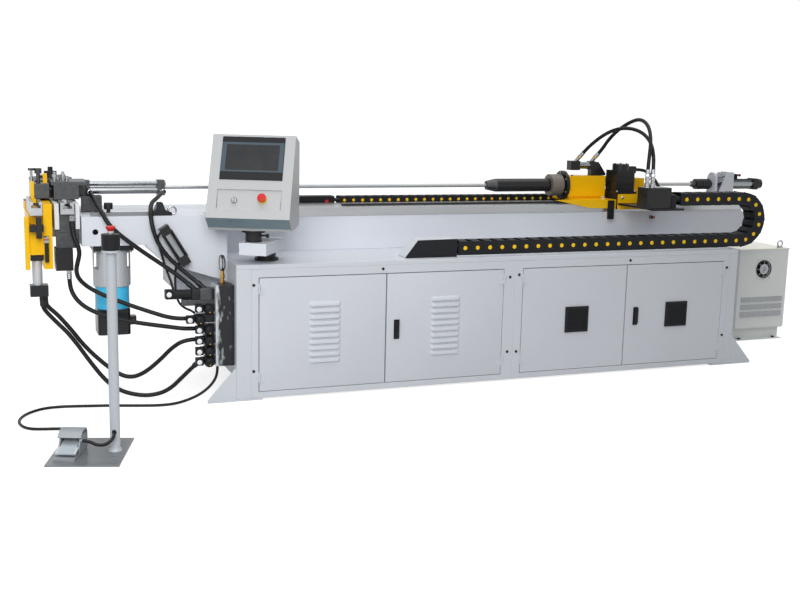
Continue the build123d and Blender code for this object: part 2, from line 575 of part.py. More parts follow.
FOOT_CABLE = (
    (56.0, 52.0, 165.0), (56.0, 52.0, 135.0), (44.0, 50.0, 100.0), (16.0, 46.0, 68.0),
    (-26.0, 38.0, 40.0), (-84.0, 26.0, 20.0), (-150.0, 14.0, 8.6), (-222.0, 14.0, 6.9),
    (-294.0, 32.0, 6.9), (-366.0, 53.0, 6.9), (-438.0, 76.0, 6.9), (-510.0, 90.0, 6.9),
    (-582.0, 106.0, 6.9), (-650.0, 117.0, 6.9), (-716.0, 109.0, 6.9), (-772.0, 66.0, 6.9),
    (-812.0, 8.0, 6.9), (-834.0, -68.0, 6.9), (-826.0, -146.0, 6.9), (-796.0, -198.0, 6.9),
    (-746.0, -216.0, 6.9), (-690.0, -226.0, 6.9), (-642.0, -248.0, 8.0), (-616.0, -292.0, 14.0),
    (-608.0, -342.0, 26.0), (-609.0, -398.0, 40.0), (-613.6, -450.0, 50.0), (-629.2, -499.6, 52.0),
)
STAND_LEAD = (
    (-618.0, -605.6, 62.0), (-594.0, -615.0, 60.0), (-568.0, -629.0, 46.0), (-536.0, -639.0, 46.0),
    (-511.0, -638.0, 62.0), (-499.0, -627.0, 78.0), (-497.0, -612.0, 84.0),
)


def plan(x, y, z):
    """A point given in plan dimensions, in the model's frame."""
    return (x + FRAME_X, y + FRAME_Y, z)


def middle(span):
    return (span[0] + span[1]) / 2


def length(span):
    return span[1] - span[0]


def block(x, y, z, mode=Mode.ADD):
    """A box over three (low, high) spans."""
    with Locations(plan(middle(x), middle(y), middle(z))):
        Box(length(x), length(y), length(z), mode=mode)


def bar_x(x, y, z, radius, mode=Mode.ADD):
    """A round bar along X over the span x."""
    with Locations(Location(plan(middle(x), y, z), (0, 90, 0))):
        Cylinder(radius, length(x), mode=mode)


def bar_y(x, y, z, radius, mode=Mode.ADD):
    """A round bar along Y over the span y."""
    with Locations(Location(plan(x, middle(y), z), (90, 0, 0))):
        Cylinder(radius, length(y), mode=mode)


def bar_z(x, y, z, radius, mode=Mode.ADD):
    """A round bar along Z over the span z."""
    with Locations(plan(x, y, middle(z))):
        Cylinder(radius, length(z), mode=mode)


def fitting(route, depth, radius, workplane=Plane.XY):
    """A round fitting that carries a hose route's last run on by so much, for a part on that workplane."""
    before = workplane.to_local_coords(Vector(*plan(*route[-2])))
    tip = workplane.to_local_coords(Vector(*plan(*route[-1])))
    run = (tip - before).normalized()
    with Locations(Plane(origin=tip + run * (depth / 2), z_dir=run)):
        Cylinder(radius, depth)


def side_plate(points, y, mode=Mode.ADD):
    """A plate drawn in X and Z and extruded over the span y."""
    with BuildSketch(Plane(origin=plan(0, y[0], 0), x_dir=(1, 0, 0), z_dir=(0, -1, 0))) as outline:
        with BuildLine():
            Polyline(*points, close=True)
        make_face()
    extrude(outline.sketch, amount=-length(y), mode=mode)


def local_block(x, y, z, mode=Mode.ADD):
    """A box over three spans of the part's own workplane."""
    with Locations((middle(x), middle(y), middle(z))):
        Box(length(x), length(y), length(z), mode=mode)


def local_bar(x, y, z, radius, mode=Mode.ADD):
    """A round bar along the workplane's normal over the span z."""
    with Locations((x, y, middle(z))):
        Cylinder(radius, length(z), mode=mode)


def write(piece, name):
    """Label a finished piece and write its STEP file."""
    piece.part.label = name
    export_step(piece.part, f"parts/{name}.step")


def turned_plane(x, y, z, turn):
    """A level workplane whose X axis is turned by so many degrees towards the operator."""
    return Plane(origin=plan(x, y, z), x_dir=(cos(radians(turn)), -sin(radians(turn)), 0), z_dir=(0, 0, 1))


def route_radii(points):
    """Each corner's radius: 0.45 of the shorter run over the tangent of half the turn."""
    radii = []
    for before, here, after in zip(points, points[1:], points[2:]):
        turn = radians((here - before).get_angle(after - here))
        shorter = min((here - before).length, (after - here).length)
        radii.append(0.45 * shorter / tan(turn / 2))
    return radii


def hose(route, radius, name):
    """A round tube along straight runs joined by tangent arcs."""
    points = [Vector(*plan(*point)) for point in route]
    radii = route_radii(points)
    with BuildLine() as path:
        FilletPolyline(*points, radius=radii)
    with BuildSketch(Plane(origin=points[0], z_dir=points[1] - points[0])) as section:
        Circle(radius)
    sweep(section.sketch, path=path.wires()[0])
    run = path.wires()[0].length
    volume = pi * radius**2 * run
    print(name, "length", round(run), "least radius", round(min(radii)), "volume", round(volume))


# Cabinet shell: raised floor and its skirt, ends, rear, partition, corner posts, deck and front lip
with BuildPart() as cabinet_shell:
    wall_y = (FACE + WELD_GAP, CABINET_Y[1])
    wall_z = (FLOOR_LIFT + SHEET + WELD_GAP, CABINET_Z[1] - DECK - WELD_GAP)
    inner_x = (CABINET_X[0] + SHEET + WELD_GAP, CABINET_X[1] - SHEET - WELD_GAP)
    block(CABINET_X, (FLOOR_FRONT_Y, CABINET_Y[1]), (FLOOR_LIFT, FLOOR_LIFT + SHEET))
    block(inner_x, (FLOOR_FRONT_Y, FLOOR_FRONT_Y + SHEET), (CABINET_Z[0], FLOOR_LIFT))
    block((CABINET_X[0], CABINET_X[0] + SHEET), wall_y, wall_z)
    block((CABINET_X[1] - SHEET, CABINET_X[1]), wall_y, wall_z)
    block(inner_x, (CABINET_Y[1] - SHEET, CABINET_Y[1]), wall_z)
    partition_y = (wall_y[0], CABINET_Y[1] - SHEET - WELD_GAP)
    block((PARTITION_X - SHEET / 2, PARTITION_X + SHEET / 2), partition_y, wall_z)
    post_z = (CABINET_Z[0], FRAME_TOP)
    block((CABINET_X[0], FRAME_X_SPANS[0][0] - WELD_GAP), (0, FACE), post_z)
    block((FRAME_X_SPANS[1][1] + WELD_GAP, CABINET_X[1]), (0, FACE), post_z)
    block(CABINET_X, CABINET_Y, (CABINET_Z[1] - DECK, CABINET_Z[1]))
    block(CABINET_X, (0, FACE), (FRAME_TOP + WELD_GAP, CABINET_Z[1] - DECK))
write(cabinet_shell, "cabinet_shell")

# Front frames round the door bays, with the fixed hinge halves and the frame screws
with BuildPart() as front_frames:
    for frame_x, bay_x, screws in zip(FRAME_X_SPANS, BAY_X_SPANS, SCREW_POINTS):
        for stile_x in ((frame_x[0], bay_x[0]), (bay_x[1], frame_x[1])):
            block(stile_x, (0, FACE), (CABINET_Z[0], FRAME_TOP))
        for rail_z in ((CABINET_Z[0], BAY_Z[0]), (BAY_Z[1], FRAME_TOP)):
            block((bay_x[0] + WELD_GAP, bay_x[1] - WELD_GAP), (0, FACE), rail_z)
        for hinge_x, side in ((bay_x[0] + DOOR_GAP / 2, -1), (bay_x[1] - DOOR_GAP / 2, 1)):
            flap_x = sorted((hinge_x, hinge_x + side * HINGE_FLAP))
            for z in HINGE_Z:
                knuckle_z = (z + HINGE_LENGTH + HINGE_PLAY, z + 2 * HINGE_LENGTH)
                block(flap_x, (-HINGE_SHEET, 0), knuckle_z)
                bar_z(hinge_x, -HINGE_OUT, knuckle_z, HINGE_RADIUS)
        for x, z in screws:
            bar_y(x, (-SCREW_HEAD - WELD_GAP, -WELD_GAP), z, SCREW_RADIUS)
write(front_frames, "front_frames")

# Feet: a flared gusset with its foot plate at each front corner, and a leg under each rear corner
with BuildPart() as feet:
    plate_x, plate_y, plate_z = FOOT_PLATE
    leg_y = (CABINET_Y[1] - REAR_LEG, CABINET_Y[1])
    for tip, toward in ((0.0, 1), (CABINET_X[0] + CABINET_X[1] - WELD_GAP, -1)):
        inner = tip + toward * (FOOT_FLARE - WELD_GAP)
        side_plate(((tip, 0), (tip, FOOT_TOE), (inner, FOOT_RISE), (inner, 0)), (0, FACE))
        near = tip + toward * FOOT_INSET
        block(sorted((near, near + toward * plate_x)), (0, plate_y), (0, plate_z))
        leg = tip + toward * REAR_LEG_INSET
        block(sorted((leg, leg + toward * REAR_LEG)), leg_y, (0, FLOOR_LIFT - WELD_GAP))
write(feet, "feet")

# Doors: four sheet pans with hinge halves, louvres on the left pair and fan grilles on the right pair
door_names = ("left_bay_door_left", "left_bay_door_right", "right_bay_door_left", "right_bay_door_right")
for index, door_name in enumerate(door_names):
    bay, side = index // 2, index % 2
    bay_x = BAY_X_SPANS[bay]
    halves = ((bay_x[0], middle(bay_x)), (middle(bay_x), bay_x[1]))
    door_x = (halves[side][0] + DOOR_GAP, halves[side][1] - DOOR_GAP)
    door_z = (BAY_Z[0] + DOOR_GAP, BAY_Z[1] - DOOR_GAP)
    with BuildPart() as door:
        block(door_x, (0, DOOR_THICK), door_z)
        hollow_x = (door_x[0] + DOOR_SHEET, door_x[1] - DOOR_SHEET)
        hollow_z = (door_z[0] + DOOR_SHEET, door_z[1] - DOOR_SHEET)
        block(hollow_x, (DOOR_SHEET, 2 * DOOR_THICK), hollow_z, mode=Mode.SUBTRACT)
        hinge_x = bay_x[0] + DOOR_GAP / 2 if side == 0 else bay_x[1] - DOOR_GAP / 2
        flap_x = sorted((hinge_x, hinge_x + (HINGE_FLAP if side == 0 else -HINGE_FLAP)))
        for z in HINGE_Z:
            block(flap_x, (-HINGE_SHEET, 0), (z, z + HINGE_LENGTH))
            bar_z(hinge_x, -HINGE_OUT, (z, z + HINGE_LENGTH), HINGE_RADIUS)
        if bay == 0:
            louvre_x = LOUVRE_CENTRES[side]
            louvre_points = ((0, 0), (-LOUVRE_OUT, 0), (-LOUVRE_OUT, LOUVRE_LIP), (0, LOUVRE_HEIGHT))
            for row in range(LOUVRE_COUNT):
                z = LOUVRE_Z + row * LOUVRE_PITCH
                louvre_end = plan(louvre_x - LOUVRE_WIDTH / 2, 0, z)
                with BuildSketch(Plane(origin=louvre_end, x_dir=(0, 1, 0), z_dir=(1, 0, 0))):
                    with BuildLine():
                        Polyline(*louvre_points, close=True)
                    make_face()
                extrude(amount=LOUVRE_WIDTH)
        else:
            grille_x = GRILLE_CENTRES[side]
            grille_span = (grille_x - GRILLE_HALF, grille_x + GRILLE_HALF)
            grille_z = (GRILLE_Z - GRILLE_HALF, GRILLE_Z + GRILLE_HALF)
            block(grille_span, (-GRILLE_OUT, -WELD_GAP), grille_z)
            slot_x = (grille_span[0] + 2 * GRILLE_SLOT, grille_span[1] - 2 * GRILLE_SLOT)
            slot_step = 2 * (GRILLE_HALF - 2 * GRILLE_SLOT) / GRILLE_SLOTS
            for row in range(GRILLE_SLOTS):
                z = grille_z[0] + 2 * GRILLE_SLOT + (row + 0.5) * slot_step
                slot_z = (z - GRILLE_SLOT / 2, z + GRILLE_SLOT / 2)
                block(slot_x, (-2 * GRILLE_OUT, -GRILLE_OUT / 2), slot_z, mode=Mode.SUBTRACT)
        if side == 1:
            latch_x = LATCH_X[bay]
            block((latch_x - LATCH_HALF, latch_x + LATCH_HALF), (-LATCH_BASE, 0), LATCH_Z)
    write(door, door_name)

# Latch handles: a lever lying in its base, hinged at the lower end
for latch_x, latch_name in zip(LATCH_X, ("left_bay_latch", "right_bay_latch")):
    with BuildPart() as latch:
        block((latch_x - HANDLE_HALF, latch_x + HANDLE_HALF), HANDLE_Y, HANDLE_Z)
        fillet(latch.edges().filter_by(Axis.X).group_by(Axis.Z)[-1], HANDLE_ROUND)
    write(latch, latch_name)

# Hydraulic power unit: oil tank, pump motor and filler cap
with BuildPart() as power_unit:
    block(*TANK)
    bar_z(*PUMP_MOTOR_AT, PUMP_MOTOR_Z, PUMP_MOTOR_RADIUS)
    bar_z(*FILLER_AT, FILLER_Z, FILLER_RADIUS)
write(power_unit, "power_unit")

# Electrical plate with servo drives and relays
with BuildPart() as electrical_plate:
    block(*PANEL_PLATE)
    plate_front = PANEL_PLATE[1][0]
    for places, size, z in ((DRIVE_X, DRIVE_SIZE, DRIVE_Z), (RELAY_X, RELAY_SIZE, RELAY_Z)):
        for x in places:
            block((x, x + size[0]), (plate_front - size[1], plate_front), (z, z + size[2]))
write(electrical_plate, "electrical_plate")

# Main beam: a box section with a cut-back end, open where it meets the column
with BuildPart() as main_beam:
    outline = ((BEAM_X[0], BEAM_Z[0]), *BEAM_END_CUT, (BEAM_X[0], BEAM_Z[1]))
    side_plate(outline, BEAM_Y)
    core_x = (BEAM_X[0] - BEAM_WALL, BEAM_END_CUT[0][0] - BEAM_WALL)
    core_y = (BEAM_Y[0] + BEAM_WALL, BEAM_Y[1] - BEAM_WALL)
    core_z = (BEAM_Z[0] + BEAM_WALL, BEAM_Z[1] - BEAM_WALL)
    block(core_x, core_y, core_z, mode=Mode.SUBTRACT)
write(main_beam, "main_beam")

# Guide slab on the beam, with the gear rack along it
with BuildPart() as guide_slab:
    block(SLAB_X, SLAB_Y, SLAB_Z)
    tooth_pitch = pi * MODULE
    half_tooth = (tooth_pitch - BACKLASH) / 4
    half_tip = half_tooth - ADDENDUM * tan(PRESSURE_ANGLE)
    half_root = half_tooth + DEDENDUM * tan(PRESSURE_ANGLE)
    tip_y, root_y = RACK_PITCH_Y - ADDENDUM, RACK_PITCH_Y + DEDENDUM
    rack_end_x = RACK_START_X + RACK_TEETH * tooth_pitch
    rack_points = []
    for tooth in range(RACK_TEETH):
        x = RACK_START_X + (tooth + 0.5) * tooth_pitch
        rack_points += [(x - half_root, root_y), (x - half_tip, tip_y)]
        rack_points += [(x + half_tip, tip_y), (x + half_root, root_y)]
    rack_points += [(rack_end_x, root_y), (rack_end_x, RACK_BACK_Y)]
    rack_points += [(RACK_START_X, RACK_BACK_Y), (RACK_START_X, root_y)]
    with BuildSketch(Plane(origin=plan(0, 0, RACK_Z[0]))):
        with BuildLine():
            Polyline(*rack_points, close=True)
        make_face()
    extrude(amount=length(RACK_Z))
write(guide_slab, "guide_slab")

# Trays and covers of the two cable chains
with BuildPart() as chain_trays:
    block(TRAY_X, CHAIN_Y, TRAY_Z)
    side_plate(COVER_PROFILE, CHAIN_Y)
    block((COVER_PROFILE[0][0], COVER_PROFILE[1][0]), CHAIN_Y, TRAY_Z)
    block(*REAR_TRAY)
    block(*REAR_TRAY_LIP)
    block(*REAR_COVER)
write(chain_trays, "chain_trays")


def cable_chain(y, low_z, radius, height, pitch, span_x):
    """A rolling chain: a lower run, a half loop and an upper run, with proud link plates."""
    start_x, loop_x, end_x = span_x
    core = height * CHAIN_CORE / 2
    proud = height / 2
    high_z = low_z + 2 * radius
    core_y = (y[0] + CHAIN_SIDE, y[1] - CHAIN_SIDE)
    block((start_x, loop_x), core_y, (low_z - core, low_z + core))
    block((end_x, loop_x), core_y, (high_z - core, high_z + core))
    loop_plane = Plane(origin=plan(loop_x, core_y[0], low_z + radius), x_dir=(1, 0, 0), z_dir=(0, -1, 0))
    with BuildSketch(loop_plane) as half_ring:
        with BuildLine():
            CenterArc((0, 0), radius + core, -90, 180)
            Line((0, radius + core), (0, radius - core))
            CenterArc((0, 0), radius - core, 90, -180)
            Line((0, core - radius), (0, -radius - core))
        make_face()
    extrude(half_ring.sketch, amount=-length(core_y))
    for run_start, run_end, z in ((start_x, loop_x, low_z), (end_x, loop_x, high_z)):
        for link in range(int((run_end - run_start) / pitch)):
            x = run_end - (link + 1) * pitch
            block((x + LINK_GAP, x + pitch - LINK_GAP), y, (z - proud, z + proud))
    steps = round(pi * (radius + core) / pitch)
    for step in range(steps):
        turn = -90 + (step + 0.5) * 180 / steps
        link_x = loop_x + radius * cos(radians(turn))
        link_z = low_z + radius + radius * sin(radians(turn))
        with Locations(Location(plan(link_x, middle(y), link_z), (0, -turn, 0))):
            Box(height, length(y), pi * (radius - core) / steps - 2 * LINK_GAP)


with BuildPart() as front_cable_chain:
    chain_x = (CHAIN_START_X, CHAIN_LOOP_X, CHAIN_END_X)
    cable_chain(CHAIN_Y, CHAIN_LOW_Z, CHAIN_RADIUS, CHAIN_HEIGHT, CHAIN_PITCH, chain_x)
write(front_cable_chain, "front_cable_chain")

with BuildPart() as rear_cable_chain:
    chain_x = (REAR_START_X, REAR_LOOP_X, REAR_END_X)
    cable_chain(REAR_CHAIN_Y, REAR_LOW_Z, REAR_RADIUS, REAR_HEIGHT, REAR_PITCH, chain_x)
write(rear_cable_chain, "rear_cable_chain")

# Mandrel rod with its tip, coupling and piston rod
with BuildPart() as mandrel_rod:
    bar_x(MANDREL_X, TUBE_Y, TUBE_Z, MANDREL_RADIUS)
    bar_x(ROD_X, TUBE_Y, TUBE_Z, ROD_RADIUS)
    bar_x(ROD_NUT_X, TUBE_Y, TUBE_Z, ROD_NUT_RADIUS)
    bar_x(COUPLING_X, TUBE_Y, TUBE_Z, COUPLING_RADIUS - COUPLING_GROOVE)
    rib_step = length(COUPLING_X) / COUPLING_RIBS
    for rib in range(COUPLING_RIBS):
        rib_x = COUPLING_X[0] + rib * rib_step
        bar_x((rib_x, rib_x + COUPLING_LAND * rib_step), TUBE_Y, TUBE_Z, COUPLING_RADIUS)
    bar_x(PISTON_ROD_X, TUBE_Y, TUBE_Z, PISTON_ROD_RADIUS)
write(mandrel_rod, "mandrel_rod")

# Extractor bracket: base, round-topped rest plate, head plate, gussets and tie rods
with BuildPart() as extractor_bracket:
    tie_x = (REST_PLATE[0][0], HEAD_PLATE[0][1])
    for spans in (EXTRACTOR_BASE, REST_PLATE, HEAD_PLATE):
        block(*spans)
    bar_x(REST_PLATE[0], TUBE_Y, REST_PLATE[2][1], length(REST_PLATE[1]) / 2)
    for gusset_y in GUSSET_Y:
        side_plate(GUSSET_PROFILE, gusset_y)
    for y in (TUBE_Y - TIE_OFFSET, TUBE_Y + TIE_OFFSET):
        for z in TIE_Z:
            bar_x(tie_x, y, z, TIE_RADIUS)
    bar_x((tie_x[0] - 1, tie_x[1] + 1), TUBE_Y, TUBE_Z, EXTRACTOR_BORE, mode=Mode.SUBTRACT)
write(extractor_bracket, "extractor_bracket")

# Extractor cylinder
with BuildPart() as extractor_cylinder:
    bar_x(EXTRACTOR_BARREL_X, TUBE_Y, TUBE_Z, EXTRACTOR_BARREL_RADIUS)
    block(*EXTRACTOR_CAP)
    bar_x(EXTRACTOR_END_X, TUBE_Y, TUBE_Z, EXTRACTOR_END_RADIUS)
    bore_x = (EXTRACTOR_BARREL_X[0] - 1, EXTRACTOR_BARREL_X[1])
    bar_x(bore_x, TUBE_Y, TUBE_Z, EXTRACTOR_BORE, mode=Mode.SUBTRACT)
write(extractor_cylinder, "extractor_cylinder")

# Carriage base: plate, skirt, motor seat, bearing pads, outrigger, steady, rear hitch and conduit gland
with BuildPart() as carriage_base:
    block(*BASE_PLATE)
    side_plate(SKIRT_PROFILE, SKIRT_Y)
    block(*MOTOR_SEAT)
    block(*SEAT_FRONT)
    for pad_x in PAD_X:
        for pad_y in PAD_Y:
            block(pad_x, pad_y, PAD_Z)
    for spans in (OUTRIGGER, CHAIN_HITCH, SENSOR_TAB, HOUSING_FOOT, STEADY, REAR_ARM, REAR_HITCH):
        block(*spans)
    fitting(MOTOR_CONDUIT, MOTOR_GLAND[1], MOTOR_GLAND[0])
    bar_x((STEADY[0][0] - 1, STEADY[0][1] + 1), TUBE_Y, TUBE_Z, STEADY_BORE, mode=Mode.SUBTRACT)
    bar_z(*MOTOR_AXIS, (BASE_PLATE[2][0] - 1, MOTOR_SEAT[2][1] + 1), PINION_SHAFT_BORE, mode=Mode.SUBTRACT)
write(carriage_base, "carriage_base")

# Spindle housing with its round bearing flange
with BuildPart() as spindle_housing:
    block(*HOUSING)
    bar_x(FLANGE_X, TUBE_Y, TUBE_Z, FLANGE_RADIUS)
    for bolt in range(FLANGE_BOLTS):
        turn = radians(90 + bolt * 360 / FLANGE_BOLTS)
        y = TUBE_Y + FLANGE_BOLT_CIRCLE * cos(turn)
        z = TUBE_Z + FLANGE_BOLT_CIRCLE * sin(turn)
        bar_x((FLANGE_X[0] - FLANGE_BOLT[1], FLANGE_X[0]), y, z, FLANGE_BOLT[0])
    bar_x((FLANGE_X[0] - 1, HOUSING[0][1] + 1), TUBE_Y, TUBE_Z, SPINDLE_BORE, mode=Mode.SUBTRACT)
write(spindle_housing, "spindle_housing")

# Chuck: split nose, long barrel, collar and hollow spindle
with BuildPart() as chuck:
    bar_x(BARREL_X, TUBE_Y, TUBE_Z, BARREL_RADIUS)
    with Locations(Location(plan(middle(NOSE_X), TUBE_Y, TUBE_Z), (0, 90, 0))):
        Cone(NOSE_RADII[0], NOSE_RADII[1], length(NOSE_X))
    bar_x(COLLAR_X, TUBE_Y, TUBE_Z, COLLAR_RADIUS)
    bar_x(SPINDLE_X, TUBE_Y, TUBE_Z, SPINDLE_RADIUS)
    bar_x((NOSE_X[0] - 1, SPINDLE_X[1] + 1), TUBE_Y, TUBE_Z, CHUCK_BORE, mode=Mode.SUBTRACT)
    for slot in range(JAW_SLOTS):
        with Locations(Location(plan(NOSE_X[0], TUBE_Y, TUBE_Z), (slot * 360 / JAW_SLOTS, 0, 0))):
            with Locations((0, 0, NOSE_RADII[1] / 2 + CHUCK_BORE / 2)):
                Box(2 * JAW_DEPTH, JAW_SLOT, NOSE_RADII[1], mode=Mode.SUBTRACT)
write(chuck, "chuck")

# Feed servo motor
with BuildPart() as feed_motor:
    block(*FEED_MOTOR)
    block(*MOTOR_FLANGE)
    bar_z(*MOTOR_AXIS, MOTOR_CAP_Z, MOTOR_CAP_RADIUS)
    block(*MOTOR_PLUG)
write(feed_motor, "feed_motor")

# Feed pinion with involute teeth on its shaft
with BuildPart() as feed_pinion:
    pitch_radius = MODULE * PINION_TEETH / 2
    base_radius = pitch_radius * cos(PRESSURE_ANGLE)
    tip_radius = pitch_radius + ADDENDUM
    root_radius = pitch_radius - DEDENDUM
    half_angle = (pi / 2 - BACKLASH / 2 / MODULE) / PINION_TEETH + tan(PRESSURE_ANGLE) - PRESSURE_ANGLE
    flank_radii = [base_radius + (tip_radius - base_radius) * step / 5 for step in range(6)]
    gear_points = []
    for tooth in range(PINION_TEETH):
        axis_turn = pi / 2 + tooth * 2 * pi / PINION_TEETH
        rising = [(root_radius, -half_angle)]
        for r in flank_radii:
            roll = sqrt(max(0.0, (r / base_radius) ** 2 - 1))
            rising.append((r, -(half_angle - (roll - acos(min(1.0, base_radius / r))))))
        falling = [(r, -turn) for r, turn in reversed(rising)]
        for r, turn in rising + falling:
            gear_points.append((r * cos(axis_turn + turn), r * sin(axis_turn + turn)))
    with BuildSketch(Plane(origin=plan(*MOTOR_AXIS, PINION_Z[0]))):
        with BuildLine():
            Polyline(*gear_points, close=True)
        make_face()
    extrude(amount=length(PINION_Z))
    bar_z(*MOTOR_AXIS, (PINION_Z[1], MOTOR_SEAT[2][1]), PINION_SHAFT)
write(feed_pinion, "feed_pinion")

# Junction box with two hose fittings
with BuildPart() as junction_box:
    block(*JUNCTION_BOX)
    fillet(junction_box.edges().filter_by(Axis.Z), BOX_ROUND)
    for x in BOX_FITTINGS_X:
        bar_z(x, BOX_FITTING_Y, BOX_FITTING_Z, FITTING_RADIUS)
write(junction_box, "junction_box")

# Collet cylinder on top of the spindle housing
with BuildPart() as collet_cylinder:
    block(*COLLET_LEFT)
    bar_x(COLLET_BARREL_X, TUBE_Y, COLLET_Z, COLLET_BARREL_RADIUS)
    block(*COLLET_RIGHT)
    side_plate(COLLET_BRACKET, COLLET_BRACKET_Y)
    for route in (CARRIAGE_HOSE_BACK, CARRIAGE_HOSE_FRONT):
        fitting(route, COLLET_PORT_DEPTH, FITTING_RADIUS)
write(collet_cylinder, "collet_cylinder")

# Head frame: column with its foot, arm box and the nose that carries the bending spindle
with BuildPart() as head_frame:
    side_plate(COLUMN_PROFILE, HEAD_Y)
    block(*COLUMN_NOTCH, mode=Mode.SUBTRACT)
    block(*COLUMN_FOOT)
    block(*ARM_BOX)
    hole_y = (HEAD_Y[0] - 1, HEAD_Y[0] + ARM_HOLE_DEPTH)
    bar_y(ARM_HOLE[0], hole_y, ARM_HOLE[1], ARM_HOLE_RADIUS, mode=Mode.SUBTRACT)
    block(*NOSE_BLOCK)
    bar_z(*PIVOT, NOSE_BLOCK[2], NOSE_BOSS_RADIUS)
    bar_z(*PIVOT, (NOSE_BLOCK[2][0] - 1, NOSE_BLOCK[2][1] + 1), SPINDLE_SHAFT_BORE, mode=Mode.SUBTRACT)
    block(*HEAD_RAIL)
    for radius, z in HEAD_STUD:
        bar_z(*HEAD_STUD_AT, z, radius)
    side_plate(CLEVIS_PROFILE, CLEVIS_Y)
    with Locations(Location(plan(*CLEVIS_RING_AT), (90, 0, 0))):
        Torus(*CLEVIS_RING)
write(head_frame, "head_frame")

# Bending gear motor: square tail with rounded corners, motor ring, slotted reducer and flange
with BuildPart() as bend_gearmotor:
    tail_x, tail_y = [(centre - MOTOR_TAIL_HALF, centre + MOTOR_TAIL_HALF) for centre in GEARMOTOR_AT]
    block(tail_x, tail_y, MOTOR_TAIL_Z)
    fillet(bend_gearmotor.edges().filter_by(Axis.Z), MOTOR_TAIL_ROUND)
    block(*GEARMOTOR_FLANGE)
    bar_z(*GEARMOTOR_AT, REDUCER_Z, REDUCER_RADIUS)
    bar_z(*GEARMOTOR_AT, BLUE_RING_Z, BLUE_RING_RADIUS)
    block(*TAIL_PLUG)
    slot_y = (GEARMOTOR_AT[1] - REDUCER_RADIUS, GEARMOTOR_AT[1] + REDUCER_RADIUS)
    for side in (-1, 1):
        slot_x = sorted(GEARMOTOR_AT[0] + side * reach for reach in REDUCER_SLOT)
        block(slot_x, slot_y, REDUCER_SLOT_Z, mode=Mode.SUBTRACT)
write(bend_gearmotor, "bend_gearmotor")

# Pressure die guides: two side plates, the bed between them, the skirt below and the hose port
with BuildPart() as pressure_guides:
    for guide_x in GUIDE_PLATES_X:
        block(guide_x, GUIDE_Y, GUIDE_Z)
    for spans in (GUIDE_BED, GUIDE_SKIRT, GUIDE_MOUNT, GUIDE_PORT):
        block(*spans)
write(pressure_guides, "pressure_guides")


def tee_slot(slide):
    """A T-shaped slot along Y in the top of a slide."""
    x, y, z = middle(slide[0]), (slide[1][0] - 1, slide[1][1] + 1), slide[2][1]
    neck_z = (z - SLOT_NECK[1], z + 1)
    head_z = (z - SLOT_NECK[1] - SLOT_HEAD[1], z - SLOT_NECK[1])
    block((x - SLOT_NECK[0] / 2, x + SLOT_NECK[0] / 2), y, neck_z, mode=Mode.SUBTRACT)
    block((x - SLOT_HEAD[0] / 2, x + SLOT_HEAD[0] / 2), y, head_z, mode=Mode.SUBTRACT)


# Pressure slide with its die holder and the holder's bolts
with BuildPart() as pressure_slide:
    block(*PRESS_SLIDE)
    tee_slot(PRESS_SLIDE)
    for spans in (PRESS_KEY, PRESS_HOLDER, PRESS_CAP):
        block(*spans)
    for x, y, top in PRESS_BOLTS:
        bar_z(x, y, (PRESS_CAP[2][1], top), BOLT_RADIUS)
        bar_z(x, y, (top - 2 * BOLT_HEAD, top - BOLT_HEAD), BOLT_HEAD_RADIUS)
write(pressure_slide, "pressure_slide")

# Pressure die with its follower rods
with BuildPart() as pressure_die:
    block(*PRESS_DIE)
    groove_x = (PRESS_DIE[0][0] - 1, PRESS_DIE[0][1] + 1)
    bar_x(groove_x, TUBE_Y, TUBE_Z, GROOVE_RADIUS, mode=Mode.SUBTRACT)
    bar_x(BOOSTER_ROD_X, BOOSTER_Y, BOOSTER_ROD_Z, BOOSTER_ROD_RADIUS)
    bar_x(PISTON_X, BOOSTER_Y, BOOSTER_BARREL_Z, PISTON_RADIUS)
write(pressure_die, "pressure_die")

# Booster cylinder that drives the pressure die along the tube
with BuildPart() as booster_cylinder:
    for spans in (BOOSTER_LEFT, BOOSTER_RIGHT, BOOSTER_BRACKET, BOOSTER_TIE, BRACKET_TIE):
        block(*spans)
    bar_x(BOOSTER_BARREL_X, BOOSTER_Y, BOOSTER_BARREL_Z, BOOSTER_BARREL_RADIUS)
    for x, y, z in BOOSTER_PORTS:
        bar_y(x, y, z, FITTING_RADIUS)
    through_x = (BOOSTER_LEFT[0][0] - 1, BOOSTER_RIGHT[0][1] + 1)
    bar_x(through_x, BOOSTER_Y, BOOSTER_ROD_Z, BOOSTER_ROD_BORE, mode=Mode.SUBTRACT)
    bore_x = (BOOSTER_LEFT[0][0] - 1, BOOSTER_BARREL_X[1] - BOOSTER_BORE_END)
    bar_x(bore_x, BOOSTER_Y, BOOSTER_BARREL_Z, BOOSTER_BORE, mode=Mode.SUBTRACT)
write(booster_cylinder, "booster_cylinder")

# Pressure cylinder below the guides
with BuildPart() as pressure_cylinder:
    block(*PRESS_CYLINDER)
    bar_z(*PRESS_BARREL_AT, PRESS_BARREL_Z, PRESS_BARREL_RADIUS)
    fitting(PRESS_HOSE_REAR[::-1], PRESS_PORT_DEPTH, FITTING_RADIUS)
write(pressure_cylinder, "pressure_cylinder")

